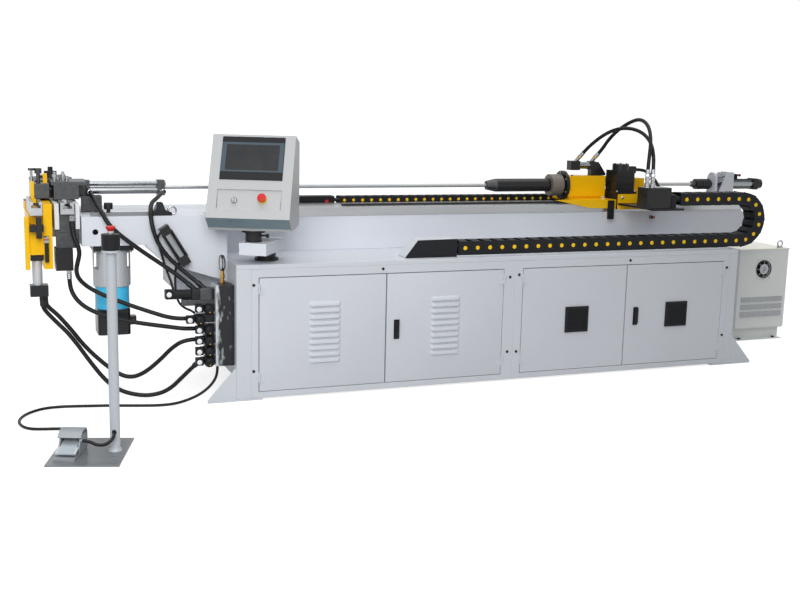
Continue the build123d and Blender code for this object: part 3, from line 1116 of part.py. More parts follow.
# Swing arm: side plates, web, hub and the lever's ears
with BuildPart() as swing_arm:
    for spans in (ARM_RIGHT, ARM_LEFT, ARM_FRONT, ARM_WEB, ARM_NECK, HUB_BLOCK):
        block(*spans)
    bar_z(*PIVOT, HUB_Z, HUB_RADIUS)
    bar_z(*PIVOT, (HUB_Z[0] - 1, HUB_Z[1] + 1), SPINDLE_SHAFT_BORE, mode=Mode.SUBTRACT)
    for ear_x in EARS_X:
        block(ear_x, EARS_Y, EARS_Z)
    bar_x((LEVER_PIN_X[0] - 1, LEVER_PIN_X[1] + 1), *LEVER_PIVOT, LEVER_PIN_BORE, mode=Mode.SUBTRACT)
write(swing_arm, "swing_arm")

# Bend die with its groove, cap nut and spindle
with BuildPart() as bend_die:
    bar_z(*PIVOT, DIE_Z, DIE_RADIUS)
    with Locations(plan(*PIVOT, TUBE_Z)):
        Torus(PIVOT[1] - TUBE_Y, GROOVE_RADIUS, mode=Mode.SUBTRACT)
    for radius, z in DIE_CAP:
        bar_z(*PIVOT, z, radius)
    bar_z(*PIVOT, SPINDLE_Z, SPINDLE_SHAFT)
write(bend_die, "bend_die")

# Clamp slide with its die holder, post, knob and stop
with BuildPart() as clamp_slide:
    block(*CLAMP_SLIDE)
    tee_slot(CLAMP_SLIDE)
    for spans in (CLAMP_KEY, CLAMP_HOLDER, CLAMP_STRIP, CLAMP_STOP):
        block(*spans)
    for place, stack in ((CLAMP_POST_AT, CLAMP_POST), (CLAMP_KNOB_AT, CLAMP_KNOB)):
        for radius, z in stack:
            bar_z(*place, z, radius)
write(clamp_slide, "clamp_slide")

# Clamp die
with BuildPart() as clamp_die:
    block(*CLAMP_DIE)
    groove_x = (CLAMP_DIE[0][0] - 1, CLAMP_DIE[0][1] + 1)
    bar_x(groove_x, TUBE_Y, TUBE_Z, GROOVE_RADIUS, mode=Mode.SUBTRACT)
write(clamp_die, "clamp_die")

# Clamp lever on its pin
with BuildPart() as clamp_lever:
    block(*LEVER)
    bar_x(LEVER_PIN_X, *LEVER_PIVOT, LEVER_PIN)
write(clamp_lever, "clamp_lever")

# Clamp cylinder hanging from the swing arm
with BuildPart() as clamp_cylinder:
    for spans in (CYLINDER_HEAD, CYLINDER_CAP):
        block(*spans)
    bar_z(*CYLINDER_AT, CYLINDER_BARREL[1], CYLINDER_BARREL[0])
    for port in CLAMP_PORTS:
        bar_z(*port, CLAMP_PORT_Z, FITTING_RADIUS)
write(clamp_cylinder, "clamp_cylinder")

# Small slanted cylinder on the column: a barrel between two square ends
slant = Vector(*ASSIST_FOOT) - Vector(*ASSIST_TOP)
with BuildPart(Plane(origin=plan(*ASSIST_TOP), x_dir=(0, 1, 0), z_dir=slant)) as assist_cylinder:
    assist_side = (-ASSIST_HALF, ASSIST_HALF)
    foot_start = slant.length - ASSIST_ENDS[1]
    local_block(assist_side, assist_side, (0, ASSIST_ENDS[0]))
    local_bar(0, 0, (ASSIST_ENDS[0], foot_start), ASSIST_RADIUS)
    local_block(assist_side, assist_side, (foot_start, slant.length))
write(assist_cylinder, "assist_cylinder")

# Valve manifold
with BuildPart() as manifold:
    block(*MANIFOLD)
    outlet_x, outlet_y, outlet_z = MANIFOLD_OUTLET
    bar_z(outlet_x, outlet_y, (outlet_z, outlet_z + OUTLET_LENGTH), OUTLET_RADIUS)
write(manifold, "manifold")

# Solenoid valves: body, coil, end nut and plug, and the long valve on top
with BuildPart() as solenoid_valves:
    face_x = MANIFOLD[0][0] - WELD_GAP
    for z, shift in zip(VALVE_Z, VALVE_SHIFT):
        body_x = (face_x - VALVE_BODY[0] + shift, face_x)
        half_y, half_z = VALVE_BODY[1] / 2, VALVE_BODY[2] / 2
        block(body_x, (VALVE_Y - half_y, VALVE_Y + half_y), (z - half_z, z + half_z))
        coil_x = (body_x[0] - COIL_LENGTH, body_x[0])
        bar_x(coil_x, VALVE_Y, z, COIL_RADIUS)
        bar_x((coil_x[0] - VALVE_NUT[1], coil_x[0]), VALVE_Y, z, VALVE_NUT[0])
        bar_y(middle(coil_x), (VALVE_Y - COIL_RADIUS - PLUG_LENGTH, VALVE_Y), z, PLUG_RADIUS)
    block(*TOP_VALVE)
    bar_x(TOP_COIL_X, *TOP_COIL)
    bar_x(TOP_NUT_X, *TOP_COIL[:2], VALVE_NUT[0])
    fitting(BOOSTER_HOSE_LEFT, TOP_FITTING_DEPTHS[0], FITTING_RADIUS)
    fitting(BOOSTER_HOSE_RIGHT, TOP_FITTING_DEPTHS[1], FITTING_RADIUS)
    fitting(CLAMP_HOSE_LOWER, LOW_FITTING_DEPTH, LOW_FITTING_RADIUS)
write(solenoid_valves, "solenoid_valves")

# Pressure gauge on its stem
with BuildPart() as pressure_gauge:
    bar_x(GAUGE_X, *GAUGE_AT[1:], GAUGE_RADIUS)
    bar_z(*GAUGE_AT[:2], GAUGE_STEM[1], GAUGE_STEM[0])
write(pressure_gauge, "pressure_gauge")

# Console arm: deck flange, stub, box arm and the black collar
arm_plane = turned_plane(*CONSOLE_BASE, CABINET_Z[1], CONSOLE_ARM_TURN)
with BuildPart(arm_plane) as console_arm:
    for radius, low, high in (CONSOLE_FLANGE, CONSOLE_STUB):
        local_bar(0, 0, (low, high), radius)
    local_block(*CONSOLE_BOX)
    local_bar(*COLLAR_AT, COLLAR[1:], COLLAR[0])
    for start, end, radius in COLLAR_KNOB:
        with Locations(Location((COLLAR_AT[0] + (start + end) / 2, COLLAR_AT[1], COLLAR_KNOB_Z), (0, 90, 0))):
            Cylinder(radius, end - start)
write(console_arm, "console_arm")

collar_axis = arm_plane.origin + arm_plane.x_dir * COLLAR_AT[0] + arm_plane.y_dir * COLLAR_AT[1]
case_floor = CABINET_Z[1] + COLLAR[2] + WELD_GAP
case_plane = turned_plane(collar_axis.X - FRAME_X, collar_axis.Y - FRAME_Y, case_floor, CONSOLE_TURN)
back = case_plane.y_dir
face_origin = case_plane.origin + case_plane.x_dir * CONSOLE_SHIFT + back * CONSOLE_FACE_AT[0]
face_origin += Vector(0, 0, CONSOLE_FACE_AT[1])
face_normal = back * -cos(CONSOLE_TILT) + Vector(0, 0, sin(CONSOLE_TILT))
face_plane = Plane(origin=face_origin, x_dir=case_plane.x_dir, z_dir=face_normal)

# Console case: a hollow wedge with the screen cut-out, the button recess and the neck
with BuildPart() as console_case:
    side_origin = case_plane.origin + case_plane.x_dir * (CONSOLE_SHIFT - CONSOLE_HALF)
    with BuildSketch(Plane(origin=side_origin, x_dir=back, z_dir=case_plane.x_dir)) as case_outline:
        with BuildLine():
            Polyline(*CONSOLE_PROFILE, close=True)
        make_face()
    extrude(amount=2 * CONSOLE_HALF)
    inner_origin = side_origin + case_plane.x_dir * CONSOLE_WALL
    with BuildSketch(Plane(origin=inner_origin, x_dir=back, z_dir=case_plane.x_dir)):
        with BuildLine():
            Polyline(*CONSOLE_PROFILE, close=True)
        make_face()
        offset(amount=-CONSOLE_WALL, kind=Kind.INTERSECTION, mode=Mode.REPLACE)
    extrude(amount=2 * (CONSOLE_HALF - CONSOLE_WALL), mode=Mode.SUBTRACT)
    with BuildSketch(face_plane.offset(CONSOLE_WALL)):
        with Locations((0, SCREEN_V)):
            Rectangle(SCREEN[0] + SCREEN_PLAY, SCREEN[1] + SCREEN_PLAY)
    extrude(amount=-3 * CONSOLE_WALL, mode=Mode.SUBTRACT)
    with BuildSketch(face_plane.offset(CONSOLE_WALL)):
        with Locations((0, RECESS_V)):
            Rectangle(*RECESS)
    extrude(amount=-CONSOLE_WALL - RECESS_DEPTH, mode=Mode.SUBTRACT)
    with BuildSketch(face_plane.offset(-RECESS_DEPTH)):
        with Locations(STOP_AT):
            Circle(STOP_COLLAR[0])
    extrude(amount=STOP_COLLAR[1])
    with BuildSketch(face_plane.offset(STOP_HEAD[1])):
        with Locations(STOP_AT):
            Circle(STOP_STEM[0] + STEM_PLAY)
        with Locations(KEY_AT):
            Circle(KEY_STEM[0] + STEM_PLAY)
    extrude(amount=-3 * STOP_HEAD[1], mode=Mode.SUBTRACT)
    with BuildSketch(case_plane):
        Circle(CONSOLE_NECK[0])
    extrude(amount=CONSOLE_NECK[1])
write(console_case, "console_case")

# Touch screen in its bezel
with BuildPart(face_plane) as touch_screen:
    half_u, half_v = SCREEN[0] / 2, SCREEN[1] / 2
    local_block((-half_u, half_u), (SCREEN_V - half_v, SCREEN_V + half_v), SCREEN_DEPTH)
    fillet(touch_screen.edges().filter_by(Axis(face_plane.origin, face_plane.z_dir)), SCREEN_ROUND)
write(touch_screen, "touch_screen")

# Emergency stop and key switch on the console
with BuildPart(face_plane) as console_stop:
    stop_floor = STOP_COLLAR[1] - RECESS_DEPTH
    local_bar(*STOP_AT, (stop_floor + STOP_LIFT, stop_floor + STOP_LIFT + STOP_HEAD[1]), STOP_HEAD[0])
    local_bar(*STOP_AT, (stop_floor + STOP_LIFT - STOP_STEM[1], stop_floor + STOP_LIFT), STOP_STEM[0])
write(console_stop, "console_stop")

with BuildPart(face_plane) as key_switch:
    key_floor = WELD_GAP - RECESS_DEPTH
    local_bar(*KEY_AT, (key_floor, key_floor + KEY_BODY[1]), KEY_BODY[0])
    local_bar(*KEY_AT, (key_floor - KEY_STEM[1], key_floor), KEY_STEM[0])
    bar_low = key_floor + KEY_BODY[1]
    key_u = (KEY_AT[0] - KEY_BAR[0] / 2, KEY_AT[0] + KEY_BAR[0] / 2)
    key_v = (KEY_AT[1] - KEY_BAR[1] / 2, KEY_AT[1] + KEY_BAR[1] / 2)
    local_block(key_u, key_v, (bar_low, bar_low + KEY_BAR[2]))
write(key_switch, "key_switch")

# Foot switch stand: floor plate, post with its weld and ring
stand_plane = turned_plane(*STAND_AT, 0, STAND_TURN)
with BuildPart(stand_plane) as foot_stand:
    plate_u, plate_v = [(-size / 2, size / 2) for size in STAND_PLATE[:2]]
    local_block(plate_u, plate_v, (0, STAND_PLATE[2]))
    local_bar(*POST_AT, (STAND_PLATE[2], POST_TOP - RING_HEIGHT), POST_RADIUS)
    local_bar(*POST_AT, (POST_TOP - RING_HEIGHT, POST_TOP), RING_RADIUS)
    with Locations((*POST_AT, STAND_PLATE[2] + POST_WELD[1] / 2)):
        Cone(POST_WELD[0], POST_RADIUS, POST_WELD[1])
    fitting(STAND_LEAD, POST_LEAD_DEPTH, LEAD_GLAND_RADIUS, stand_plane)
write(foot_stand, "foot_stand")

# Cup on the post and its stop button
with BuildPart(stand_plane) as stop_cup:
    with Locations((*POST_AT, POST_TOP + WELD_GAP + STOP_CUP[2] / 2)):
        Cone(STOP_CUP[1], STOP_CUP[0], STOP_CUP[2])
    cup_top = POST_TOP + WELD_GAP + STOP_CUP[2]
    stem_z = (cup_top - STAND_STEM[1] - STAND_STOP[2], cup_top + 1)
    local_bar(*POST_AT, stem_z, STAND_STEM[0] + STEM_PLAY, mode=Mode.SUBTRACT)
write(stop_cup, "stop_cup")

with BuildPart(stand_plane) as stand_stop:
    head_low = cup_top + STAND_STOP[2]
    local_bar(*POST_AT, (head_low, head_low + STAND_STOP[1]), STAND_STOP[0])
    local_bar(*POST_AT, (head_low - STAND_STEM[1], head_low), STAND_STEM[0])
write(stand_stop, "stand_stop")

# Foot switch housing: base, cheeks, curved hood and switch block
pedal_plane = turned_plane(*PEDAL_AT, 0, PEDAL_TURN)
pin_y, pin_z = TREADLE_PIVOT


def rectangle(across, up):
    """The corners of a rectangle over two spans."""
    return [(across[0], up[0]), (across[1], up[0]), (across[1], up[1]), (across[0], up[1])]


def pedal_plate(points, x):
    """A plate drawn in the pedal's depth and height and extruded over the span x."""
    origin = pedal_plane.origin + pedal_plane.x_dir * x[0]
    with BuildSketch(Plane(origin=origin, x_dir=pedal_plane.y_dir, z_dir=pedal_plane.x_dir)) as outline:
        with BuildLine():
            Polyline(*points, close=True)
        make_face()
    extrude(outline.sketch, amount=length(x))


with BuildPart() as pedal_housing:
    half_base = PEDAL_BASE[0] / 2
    base_z = (STAND_PLATE[2] + WELD_GAP, STAND_PLATE[2] + WELD_GAP + PEDAL_BASE[2])
    base_y = (-PEDAL_BASE[1] / 2, PEDAL_BASE[1] / 2)
    pedal_plate(rectangle(base_y, base_z), (-half_base, half_base))
    for cheek_x in ((-half_base, PEDAL_CHEEK - half_base), (half_base - PEDAL_CHEEK, half_base)):
        pedal_plate(CHEEK_PROFILE, cheek_x)
    pedal_plate(HOOD_PROFILE, (-HOOD_HALF, HOOD_HALF))
    pedal_plate(rectangle(*PEDAL_SWITCH[1:]), PEDAL_SWITCH[0])
    pin_at = pedal_plane.origin + pedal_plane.y_dir * pin_y + Vector(0, 0, pin_z)
    with Locations(Plane(origin=pin_at, z_dir=pedal_plane.x_dir)):
        Cylinder(TREADLE_BORE, PEDAL_BASE[0] + 2, mode=Mode.SUBTRACT)
    fitting(FOOT_CABLE, PEDAL_GLAND_DEPTH, PEDAL_GLAND_RADIUS)
    fitting(STAND_LEAD[::-1], PEDAL_LEAD_DEPTH, LEAD_GLAND_RADIUS)
write(pedal_housing, "pedal_housing")

# Treadle on its pin, tilted down towards the front
treadle_up = Vector(0, 0, cos(TREADLE_TILT)) - pedal_plane.y_dir * sin(TREADLE_TILT)
with BuildPart(Plane(origin=pin_at, x_dir=pedal_plane.x_dir, z_dir=treadle_up)) as treadle:
    for spans in (TREADLE, TREADLE_PAD):
        local_block(*spans)
    rib_half, rib_width, rib_height = TREADLE_RIB
    rib_step = length(TREADLE[1]) / 2 / TREADLE_RIBS
    for rib in range(TREADLE_RIBS):
        y = TREADLE[1][0] + (rib + 0.5) * rib_step
        rib_z = (TREADLE[2][1], TREADLE[2][1] + rib_height)
        local_block((-rib_half, rib_half), (y - rib_width / 2, y + rib_width / 2), rib_z)
    with Locations(Location((0, 0, 0), (0, 90, 0))):
        Cylinder(TREADLE_PIN, PEDAL_BASE[0] - 1)
write(treadle, "treadle")

# Transformer case: hollow box, lid, foot channels, louvre strips, fan guard, core and eyebolt
with BuildPart() as transformer_case:
    block(*TRANSFORMER)
    inside = [(span[0] + TRANSFORMER_WALL, span[1] - TRANSFORMER_WALL) for span in TRANSFORMER]
    block(*inside, mode=Mode.SUBTRACT)
    block(*TRANSFORMER_CORE)
    block(*TRANSFORMER_LID)
    channel_x = (TRANSFORMER_FEET_X[0] - 1, TRANSFORMER_FEET_X[1] + 1)
    channel_z = (TRANSFORMER_WALL, TRANSFORMER[2][0] - TRANSFORMER_WALL)
    front_foot, rear_foot = TRANSFORMER_FEET_Y
    front_channel = (front_foot[0] - 1, front_foot[1] - TRANSFORMER_WALL)
    rear_channel = (rear_foot[0] + TRANSFORMER_WALL, rear_foot[1] + 1)
    for foot_y, channel_y in ((front_foot, front_channel), (rear_foot, rear_channel)):
        block(TRANSFORMER_FEET_X, foot_y, (0, TRANSFORMER[2][0]))
        block(channel_x, channel_y, channel_z, mode=Mode.SUBTRACT)
    for x in FOOT_BOLTS_X:
        bar_z(x, FOOT_BOLT_Y, (TRANSFORMER_WALL, TRANSFORMER_WALL + FOOT_BOLT[1]), FOOT_BOLT[0])
    for strip_z in STRIP_Z:
        block(STRIP_X, (TRANSFORMER[1][0] - STRIP_OUT, TRANSFORMER[1][0]), strip_z)
    fan_x, fan_z = FAN_AT
    front_y = TRANSFORMER[1][0]
    bar_y(fan_x, (front_y - 1, front_y + 2 * TRANSFORMER_WALL), fan_z, FAN_RADIUS, mode=Mode.SUBTRACT)
    rim_y = (FAN_GUARD_Y[0], front_y)
    for ring in FAN_RINGS:
        with BuildSketch(Plane(origin=plan(fan_x, FAN_GUARD_Y[0], fan_z), x_dir=(1, 0, 0), z_dir=(0, -1, 0))):
            Circle(ring)
            Circle(ring - FAN_WIRE, mode=Mode.SUBTRACT)
        extrude(amount=-length(FAN_GUARD_Y))
    with BuildSketch(Plane(origin=plan(fan_x, rim_y[0], fan_z), x_dir=(1, 0, 0), z_dir=(0, -1, 0))):
        Circle(FAN_RIM)
        Circle(FAN_RIM - FAN_RIM_WALL, mode=Mode.SUBTRACT)
    extrude(amount=-length(rim_y))
    for spoke in range(FAN_SPOKES):
        with Locations(Location(plan(fan_x, middle(FAN_GUARD_Y), fan_z), (0, spoke * 180 / FAN_SPOKES, 0))):
            Box(2 * FAN_RIM - FAN_RIM_WALL, length(FAN_GUARD_Y), FAN_WIRE)
    bar_y(fan_x, FAN_SEAT_Y, fan_z, FAN_HUB)
    seat_x = (fan_x - FAN_HUB, fan_x + FAN_HUB)
    block(seat_x, (FAN_FOOT_Y[0], FAN_SEAT_Y[1]), (TRANSFORMER_CORE[2][1], fan_z))
    block(seat_x, FAN_FOOT_Y, (TRANSFORMER_CORE[2][1] - 1, FAN_FOOT_TOP))
    bar_z(*EYE_AT, EYE_FOOT_Z, EYE_RING[0])
    with Locations(Location(plan(*EYE_AT, EYE_FOOT_Z[1] + EYE_RING[0]), (90, 0, 0))):
        Torus(*EYE_RING)
write(transformer_case, "transformer_case")

# Fan rotor: hub and pitched blades
with BuildPart() as fan_rotor:
    bar_y(fan_x, FAN_Y, fan_z, FAN_HUB)
    for blade in range(FAN_BLADES):
        with Locations(Location(plan(fan_x, middle(FAN_Y), fan_z), (0, blade * 360 / FAN_BLADES, 0))):
            blade_reach = (FAN_HUB - FAN_TIP_GAP, FAN_RADIUS - FAN_TIP_GAP)
            with Locations(Location((middle(blade_reach), 0, 0), (FAN_BLADE_PITCH, 0, 0))):
                Box(length(blade_reach), FAN_BLADE[1], FAN_BLADE[0])
write(fan_rotor, "fan_rotor")

# Hoses and cables
with BuildPart() as head_hoses:
    hose(BOOSTER_HOSE_LEFT, HOSE_RADIUS, "booster hose left")
    hose(BOOSTER_HOSE_RIGHT, HOSE_RADIUS, "booster hose right")
    hose(PRESS_HOSE_FRONT, HOSE_RADIUS, "pressure hose front")
    hose(PRESS_HOSE_REAR, HOSE_RADIUS, "pressure hose rear")
    hose(ASSIST_HOSE_UPPER, THIN_HOSE_RADIUS, "assist hose upper")
    hose(ASSIST_HOSE_LOWER, THIN_HOSE_RADIUS, "assist hose lower")
print("head hoses volume", round(head_hoses.part.volume))
write(head_hoses, "head_hoses")

with BuildPart() as clamp_hoses:
    hose(CLAMP_HOSE_UPPER, HOSE_RADIUS, "clamp hose upper")
    hose(CLAMP_HOSE_LOWER, HOSE_RADIUS, "clamp hose lower")
print("clamp hoses volume", round(clamp_hoses.part.volume))
write(clamp_hoses, "clamp_hoses")

with BuildPart() as carriage_hoses:
    hose(CARRIAGE_HOSE_BACK, HOSE_RADIUS, "carriage hose back")
    hose(CARRIAGE_HOSE_FRONT, HOSE_RADIUS, "carriage hose front")
    hose(MOTOR_CONDUIT, CONDUIT_RADIUS, "motor conduit")
print("carriage hoses volume", round(carriage_hoses.part.volume))
write(carriage_hoses, "carriage_hoses")

with BuildPart() as foot_cables:
    hose(FOOT_CABLE, CABLE_RADIUS, "foot switch cable")
    hose(STAND_LEAD, CABLE_RADIUS, "stand lead")
print("foot cables volume", round(foot_cables.part.volume))
write(foot_cables, "foot_cables")
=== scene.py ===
"""Looks of a CNC pipe bending machine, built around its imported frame."""

import json
import math

import bmesh
import bpy
import numpy as np
from bpy.props import FloatProperty, FloatVectorProperty, PointerProperty
from bpy.types import Operator, Panel, PropertyGroup
from mathutils import Matrix

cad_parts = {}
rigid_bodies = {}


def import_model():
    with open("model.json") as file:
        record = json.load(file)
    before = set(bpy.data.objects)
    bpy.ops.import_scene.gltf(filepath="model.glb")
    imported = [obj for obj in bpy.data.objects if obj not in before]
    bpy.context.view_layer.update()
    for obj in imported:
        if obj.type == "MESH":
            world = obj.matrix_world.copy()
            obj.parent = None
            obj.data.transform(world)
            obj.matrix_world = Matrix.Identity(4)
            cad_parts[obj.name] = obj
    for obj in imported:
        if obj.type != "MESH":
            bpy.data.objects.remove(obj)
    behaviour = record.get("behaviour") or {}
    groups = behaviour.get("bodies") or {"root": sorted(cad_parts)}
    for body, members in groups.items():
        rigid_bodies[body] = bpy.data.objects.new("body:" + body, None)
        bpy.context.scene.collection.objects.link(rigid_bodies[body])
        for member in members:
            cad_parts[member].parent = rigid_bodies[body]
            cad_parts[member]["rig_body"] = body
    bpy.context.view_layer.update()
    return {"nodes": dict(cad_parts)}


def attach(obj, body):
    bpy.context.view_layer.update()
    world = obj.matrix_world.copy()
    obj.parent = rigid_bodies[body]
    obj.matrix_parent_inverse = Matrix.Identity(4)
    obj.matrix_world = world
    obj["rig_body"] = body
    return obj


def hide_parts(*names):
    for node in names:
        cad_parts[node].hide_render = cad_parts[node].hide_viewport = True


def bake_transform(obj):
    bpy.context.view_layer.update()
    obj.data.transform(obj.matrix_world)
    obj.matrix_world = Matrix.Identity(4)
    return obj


bl_info = {
    "name": "CNC pipe bender looks",
    "version": (1, 0, 0),
    "blender": (4, 5, 0),
    "location": "View3D > Sidebar > Pipe bender",
    "description": "Finishes, hoses, cable chains and fittings of a CNC pipe bending machine",
    "category": "Object",
}

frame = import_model()

MM = 0.001
# Plan dimensions are millimetres from the tip of the left foot and the cabinet's front face.
PLAN_SHIFT = np.array((-1463.0, -52.0, 0.0))
X_AXIS = np.array((1.0, 0.0, 0.0))
Y_AXIS = np.array((0.0, 1.0, 0.0))
Z_AXIS = np.array((0.0, 0.0, 1.0))
# Left face of the valve block and the width of its scuffed corner
BLOCK_FACE_X = 46.8
SCUFF_WIDTH = 32.0


def linear(code):
    """An sRGB hex colour as linear red, green and blue."""
    value = np.array([int(code[place:place + 2], 16) for place in (0, 2, 4)]) / 255
    return tuple(np.where(value <= 0.04045, value / 12.92, ((value + 0.055) / 1.055) ** 2.4))


def colour(name, description, code):
    """A colour property whose default is an sRGB hex value."""
    return FloatVectorProperty(
        name=name, description=description, subtype="COLOR", size=3, min=0.0, max=1.0, default=linear(code)
    )


def size(name, description, default):
    """A length property in metres."""
    return FloatProperty(
        name=name, description=description, default=default, min=0.0, unit="LENGTH", precision=4
    )


class PIPEBENDER_PG_colours(PropertyGroup):
    """Colours of the machine's finishes."""

    cabinet: colour("Cabinet", "Powder coat of the cabinet and its doors", "CDD1D8")
    # Painted light: a lighter copy of the cabinet's coat, which is the same paint, stands in for the
    # stronger light on the beam, head frame and console arm
    beam: colour("Beam", "Powder coat of the beam, the head frame and the console arm", "DADEE6")
    console: colour("Console", "Powder coat of the operator console", "B4B6B7")
    slate: colour("Console edge", "Enamel of the console's lower edge", "75878F")
    yellow: colour("Yellow", "Enamel of the carriage and the swing arm", "F8C106")
    # The ring's own bright blue, raised further to make up for the shade under the beam and head: partly
    # painted light
    blue: colour("Motor blue", "Enamel of the bending motor's ring", "50CFFF")
    # The case's own pale coat, lightened further to make up for the weaker light at the far right: partly
    # painted light
    transformer: colour("Transformer", "Powder coat of the transformer case", "F0F3F2")
    cream: colour("Transformer lid", "Enamel of the transformer lid", "F6F5EA")
    black: colour("Black", "Moulded and painted black parts", "1A1B1D")
    chain: colour("Cable chain", "Nylon of the cable chains", "232427")
    chain_dot: colour("Chain pins", "Acetal caps of the chain pins", "FFCE1A")
    hose: colour("Hose", "Rubber of the hydraulic hoses", "121314")
    steel: colour("Steel", "Ground steel of slides and plates", "A9ABAD")
    tool_steel: colour("Tool steel", "Blued steel of dies and holders", "4A4B4D")
    red: colour("Stop red", "Stop buttons", "C4302C")
    stand: colour("Stand", "Enamel of the stand's post", "B3B9BF")


class PIPEBENDER_PG_sizes(PropertyGroup):
    """Sizes of the machine's fittings."""

    edge: size("Sheet edge", "Rounding of sheet metal edges", 1.5 * MM)
    machined_edge: size("Machined edge", "Chamfer of machined edges", 1.0 * MM)
    hose_diameter: size("Hose", "Outer diameter of the hydraulic hoses", 20 * MM)
    thin_hose_diameter: size("Thin hose", "Outer diameter of the assist cylinder's hoses", 11 * MM)
    conduit_diameter: size("Conduit", "Outer diameter of the feed motor's conduit", 18 * MM)
    cable_diameter: size("Foot cable", "Outer diameter of the foot switch cables", 13 * MM)


def colours():
    return bpy.context.scene.pipe_bender_colours


def sizes():
    return bpy.context.scene.pipe_bender_sizes


def node(tree, kind, inputs=None, **settings):
    """Add a shader node, apply its settings, then set or link each named input."""
    made = tree.nodes.new(kind)
    for key, value in settings.items():
        setattr(made, key, value)
    for key, value in (inputs or {}).items():
        if isinstance(value, bpy.types.NodeSocket):
            tree.links.new(value, made.inputs[key])
        else:
            made.inputs[key].default_value = value
    return made


def shader(name):
    """A new material with only its output; gives the material, its tree and the output node."""
    made = bpy.data.materials.new(name)
    made.use_nodes = True
    made.node_tree.nodes.clear()
    output = node(made.node_tree, "ShaderNodeOutputMaterial")
    return made, made.node_tree, output


def rgba(value, gain=1.0):
    return (*(min(1.0, part * gain) for part in value), 1.0)


def grained(
    name, base, grain, depth, rough, gleam, drift=0.05, metallic=0.0, coat=0.0, stretch=(1.0, 1.0, 1.0)
):
    """A surface with a grain of the given size in millimetres.

    The grain lifts the bump and the roughness, a slow noise half a metre wide drifts the tone, and the gleam
    is how strongly the bare surface mirrors.
    """
    made, tree, output = shader(name)
    place = node(tree, "ShaderNodeTexCoord").outputs["Object"]
    scaled = node(tree, "ShaderNodeMapping", {"Vector": place, "Scale": stretch}).outputs["Vector"]
    grains = {"Vector": scaled, "Scale": 1 / (grain * MM), "Detail": 3.0}
    fine = node(tree, "ShaderNodeTexNoise", grains).outputs[0]
    slow = node(tree, "ShaderNodeTexNoise", {"Vector": place, "Scale": 2.2, "Detail": 4.0}).outputs[0]
    mixed = node(tree, "ShaderNodeMath", {0: fine, 1: slow}, operation="ADD").outputs[0]
    tone = node(
        tree, "ShaderNodeMapRange", {"Value": mixed, 1: 0.7, 2: 1.3, 3: 1 - drift, 4: 1 + drift}
    ).outputs[0]
    tint = node(
        tree, "ShaderNodeMix", {0: 1.0, 6: rgba(base), 7: tone}, data_type="RGBA", blend_type="MULTIPLY"
    ).outputs[2]
    gloss = node(
        tree, "ShaderNodeMapRange", {"Value": mixed, 1: 0.7, 2: 1.3, 3: rough - 0.05, 4: rough + 0.07}
    ).outputs[0]
    bump = node(tree, "ShaderNodeBump", {"Height": fine, "Strength": depth, "Distance": 0.4 * MM}).outputs[0]
    skin_shader = node(
        tree,
        "ShaderNodeBsdfPrincipled",
        {
            "Base Color": tint, "Roughness": gloss, "Metallic": metallic, "Normal": bump,
            "Coat Weight": coat, "Specular IOR Level": gleam,
        },
    )
    tree.links.new(skin_shader.outputs[0], output.inputs["Surface"])
    return made


def powder_coat(name, base, gleam):
    """Powder-coated sheet: satin, with a leathery grain drawn at 5 mm so that it shows."""
    return grained(name, base, grain=5.0, depth=0.12, rough=0.42, gleam=gleam, drift=0.035)


def enamel(name, base, gleam):
    """Brushed-on gloss enamel over plate: orange peel about 9 mm across under a thin clear gloss."""
    return grained(name, base, grain=9.0, depth=0.10, rough=0.30, gleam=gleam, drift=0.06, coat=0.3 * gleam)


def moulded(name, base, gleam):
    """Moulded nylon and ABS: a fine spark-eroded grain, drawn at 2.5 mm so that it shows."""
    return grained(name, base, grain=2.5, depth=0.18, rough=0.46, gleam=gleam, drift=0.12)


def ground(name, base, gleam):
    """Ground or drawn bright steel: fine lines along the part's length, 1.5 mm apart so that they show."""
    lines = (0.02, 0.6, 1.0)
    return grained(
        name, base, grain=1.5, depth=0.10, rough=0.32, gleam=gleam, drift=0.10, metallic=0.85, stretch=lines
    )


def blued(name, base, gleam):
    """Oil-blued steel: dark, half glossy, with cloudy patches 20 mm wide."""
    return grained(name, base, grain=20.0, depth=0.08, rough=0.40, gleam=gleam, drift=0.22, metallic=0.6)


def plated(name, base, gleam):
    """Bright zinc or hard chrome: a smooth mirror with a faint cloud."""
    return grained(name, base, grain=14.0, depth=0.006, rough=0.2, gleam=gleam, drift=0.06, metallic=1.0)


def rolled(name, base, gleam):
    """Rolled plate, oiled: half bright, with streaks 8 mm wide along the rolling."""
    streaks = (0.15, 1.0, 1.0)
    return grained(
        name, base, grain=8.0, depth=0.008, rough=0.3, gleam=gleam, drift=0.06, metallic=0.4, stretch=streaks
    )


def cast(name, base, gleam):
    """Sand-cast or die-cast metal under thin paint: a pebbled grain of 4 mm."""
    return grained(name, base, grain=4.0, depth=0.22, rough=0.48, gleam=gleam, drift=0.08, metallic=0.25)


def slotted(name, base, gleam):
    """A punched vent strip: narrow upright slots 4 mm apart that darken the sheet."""
    upright = (1.0, 1.0, 0.02)
    return grained(name, base, grain=4.0, depth=0.3, rough=0.45, gleam=gleam, drift=0.14, stretch=upright)


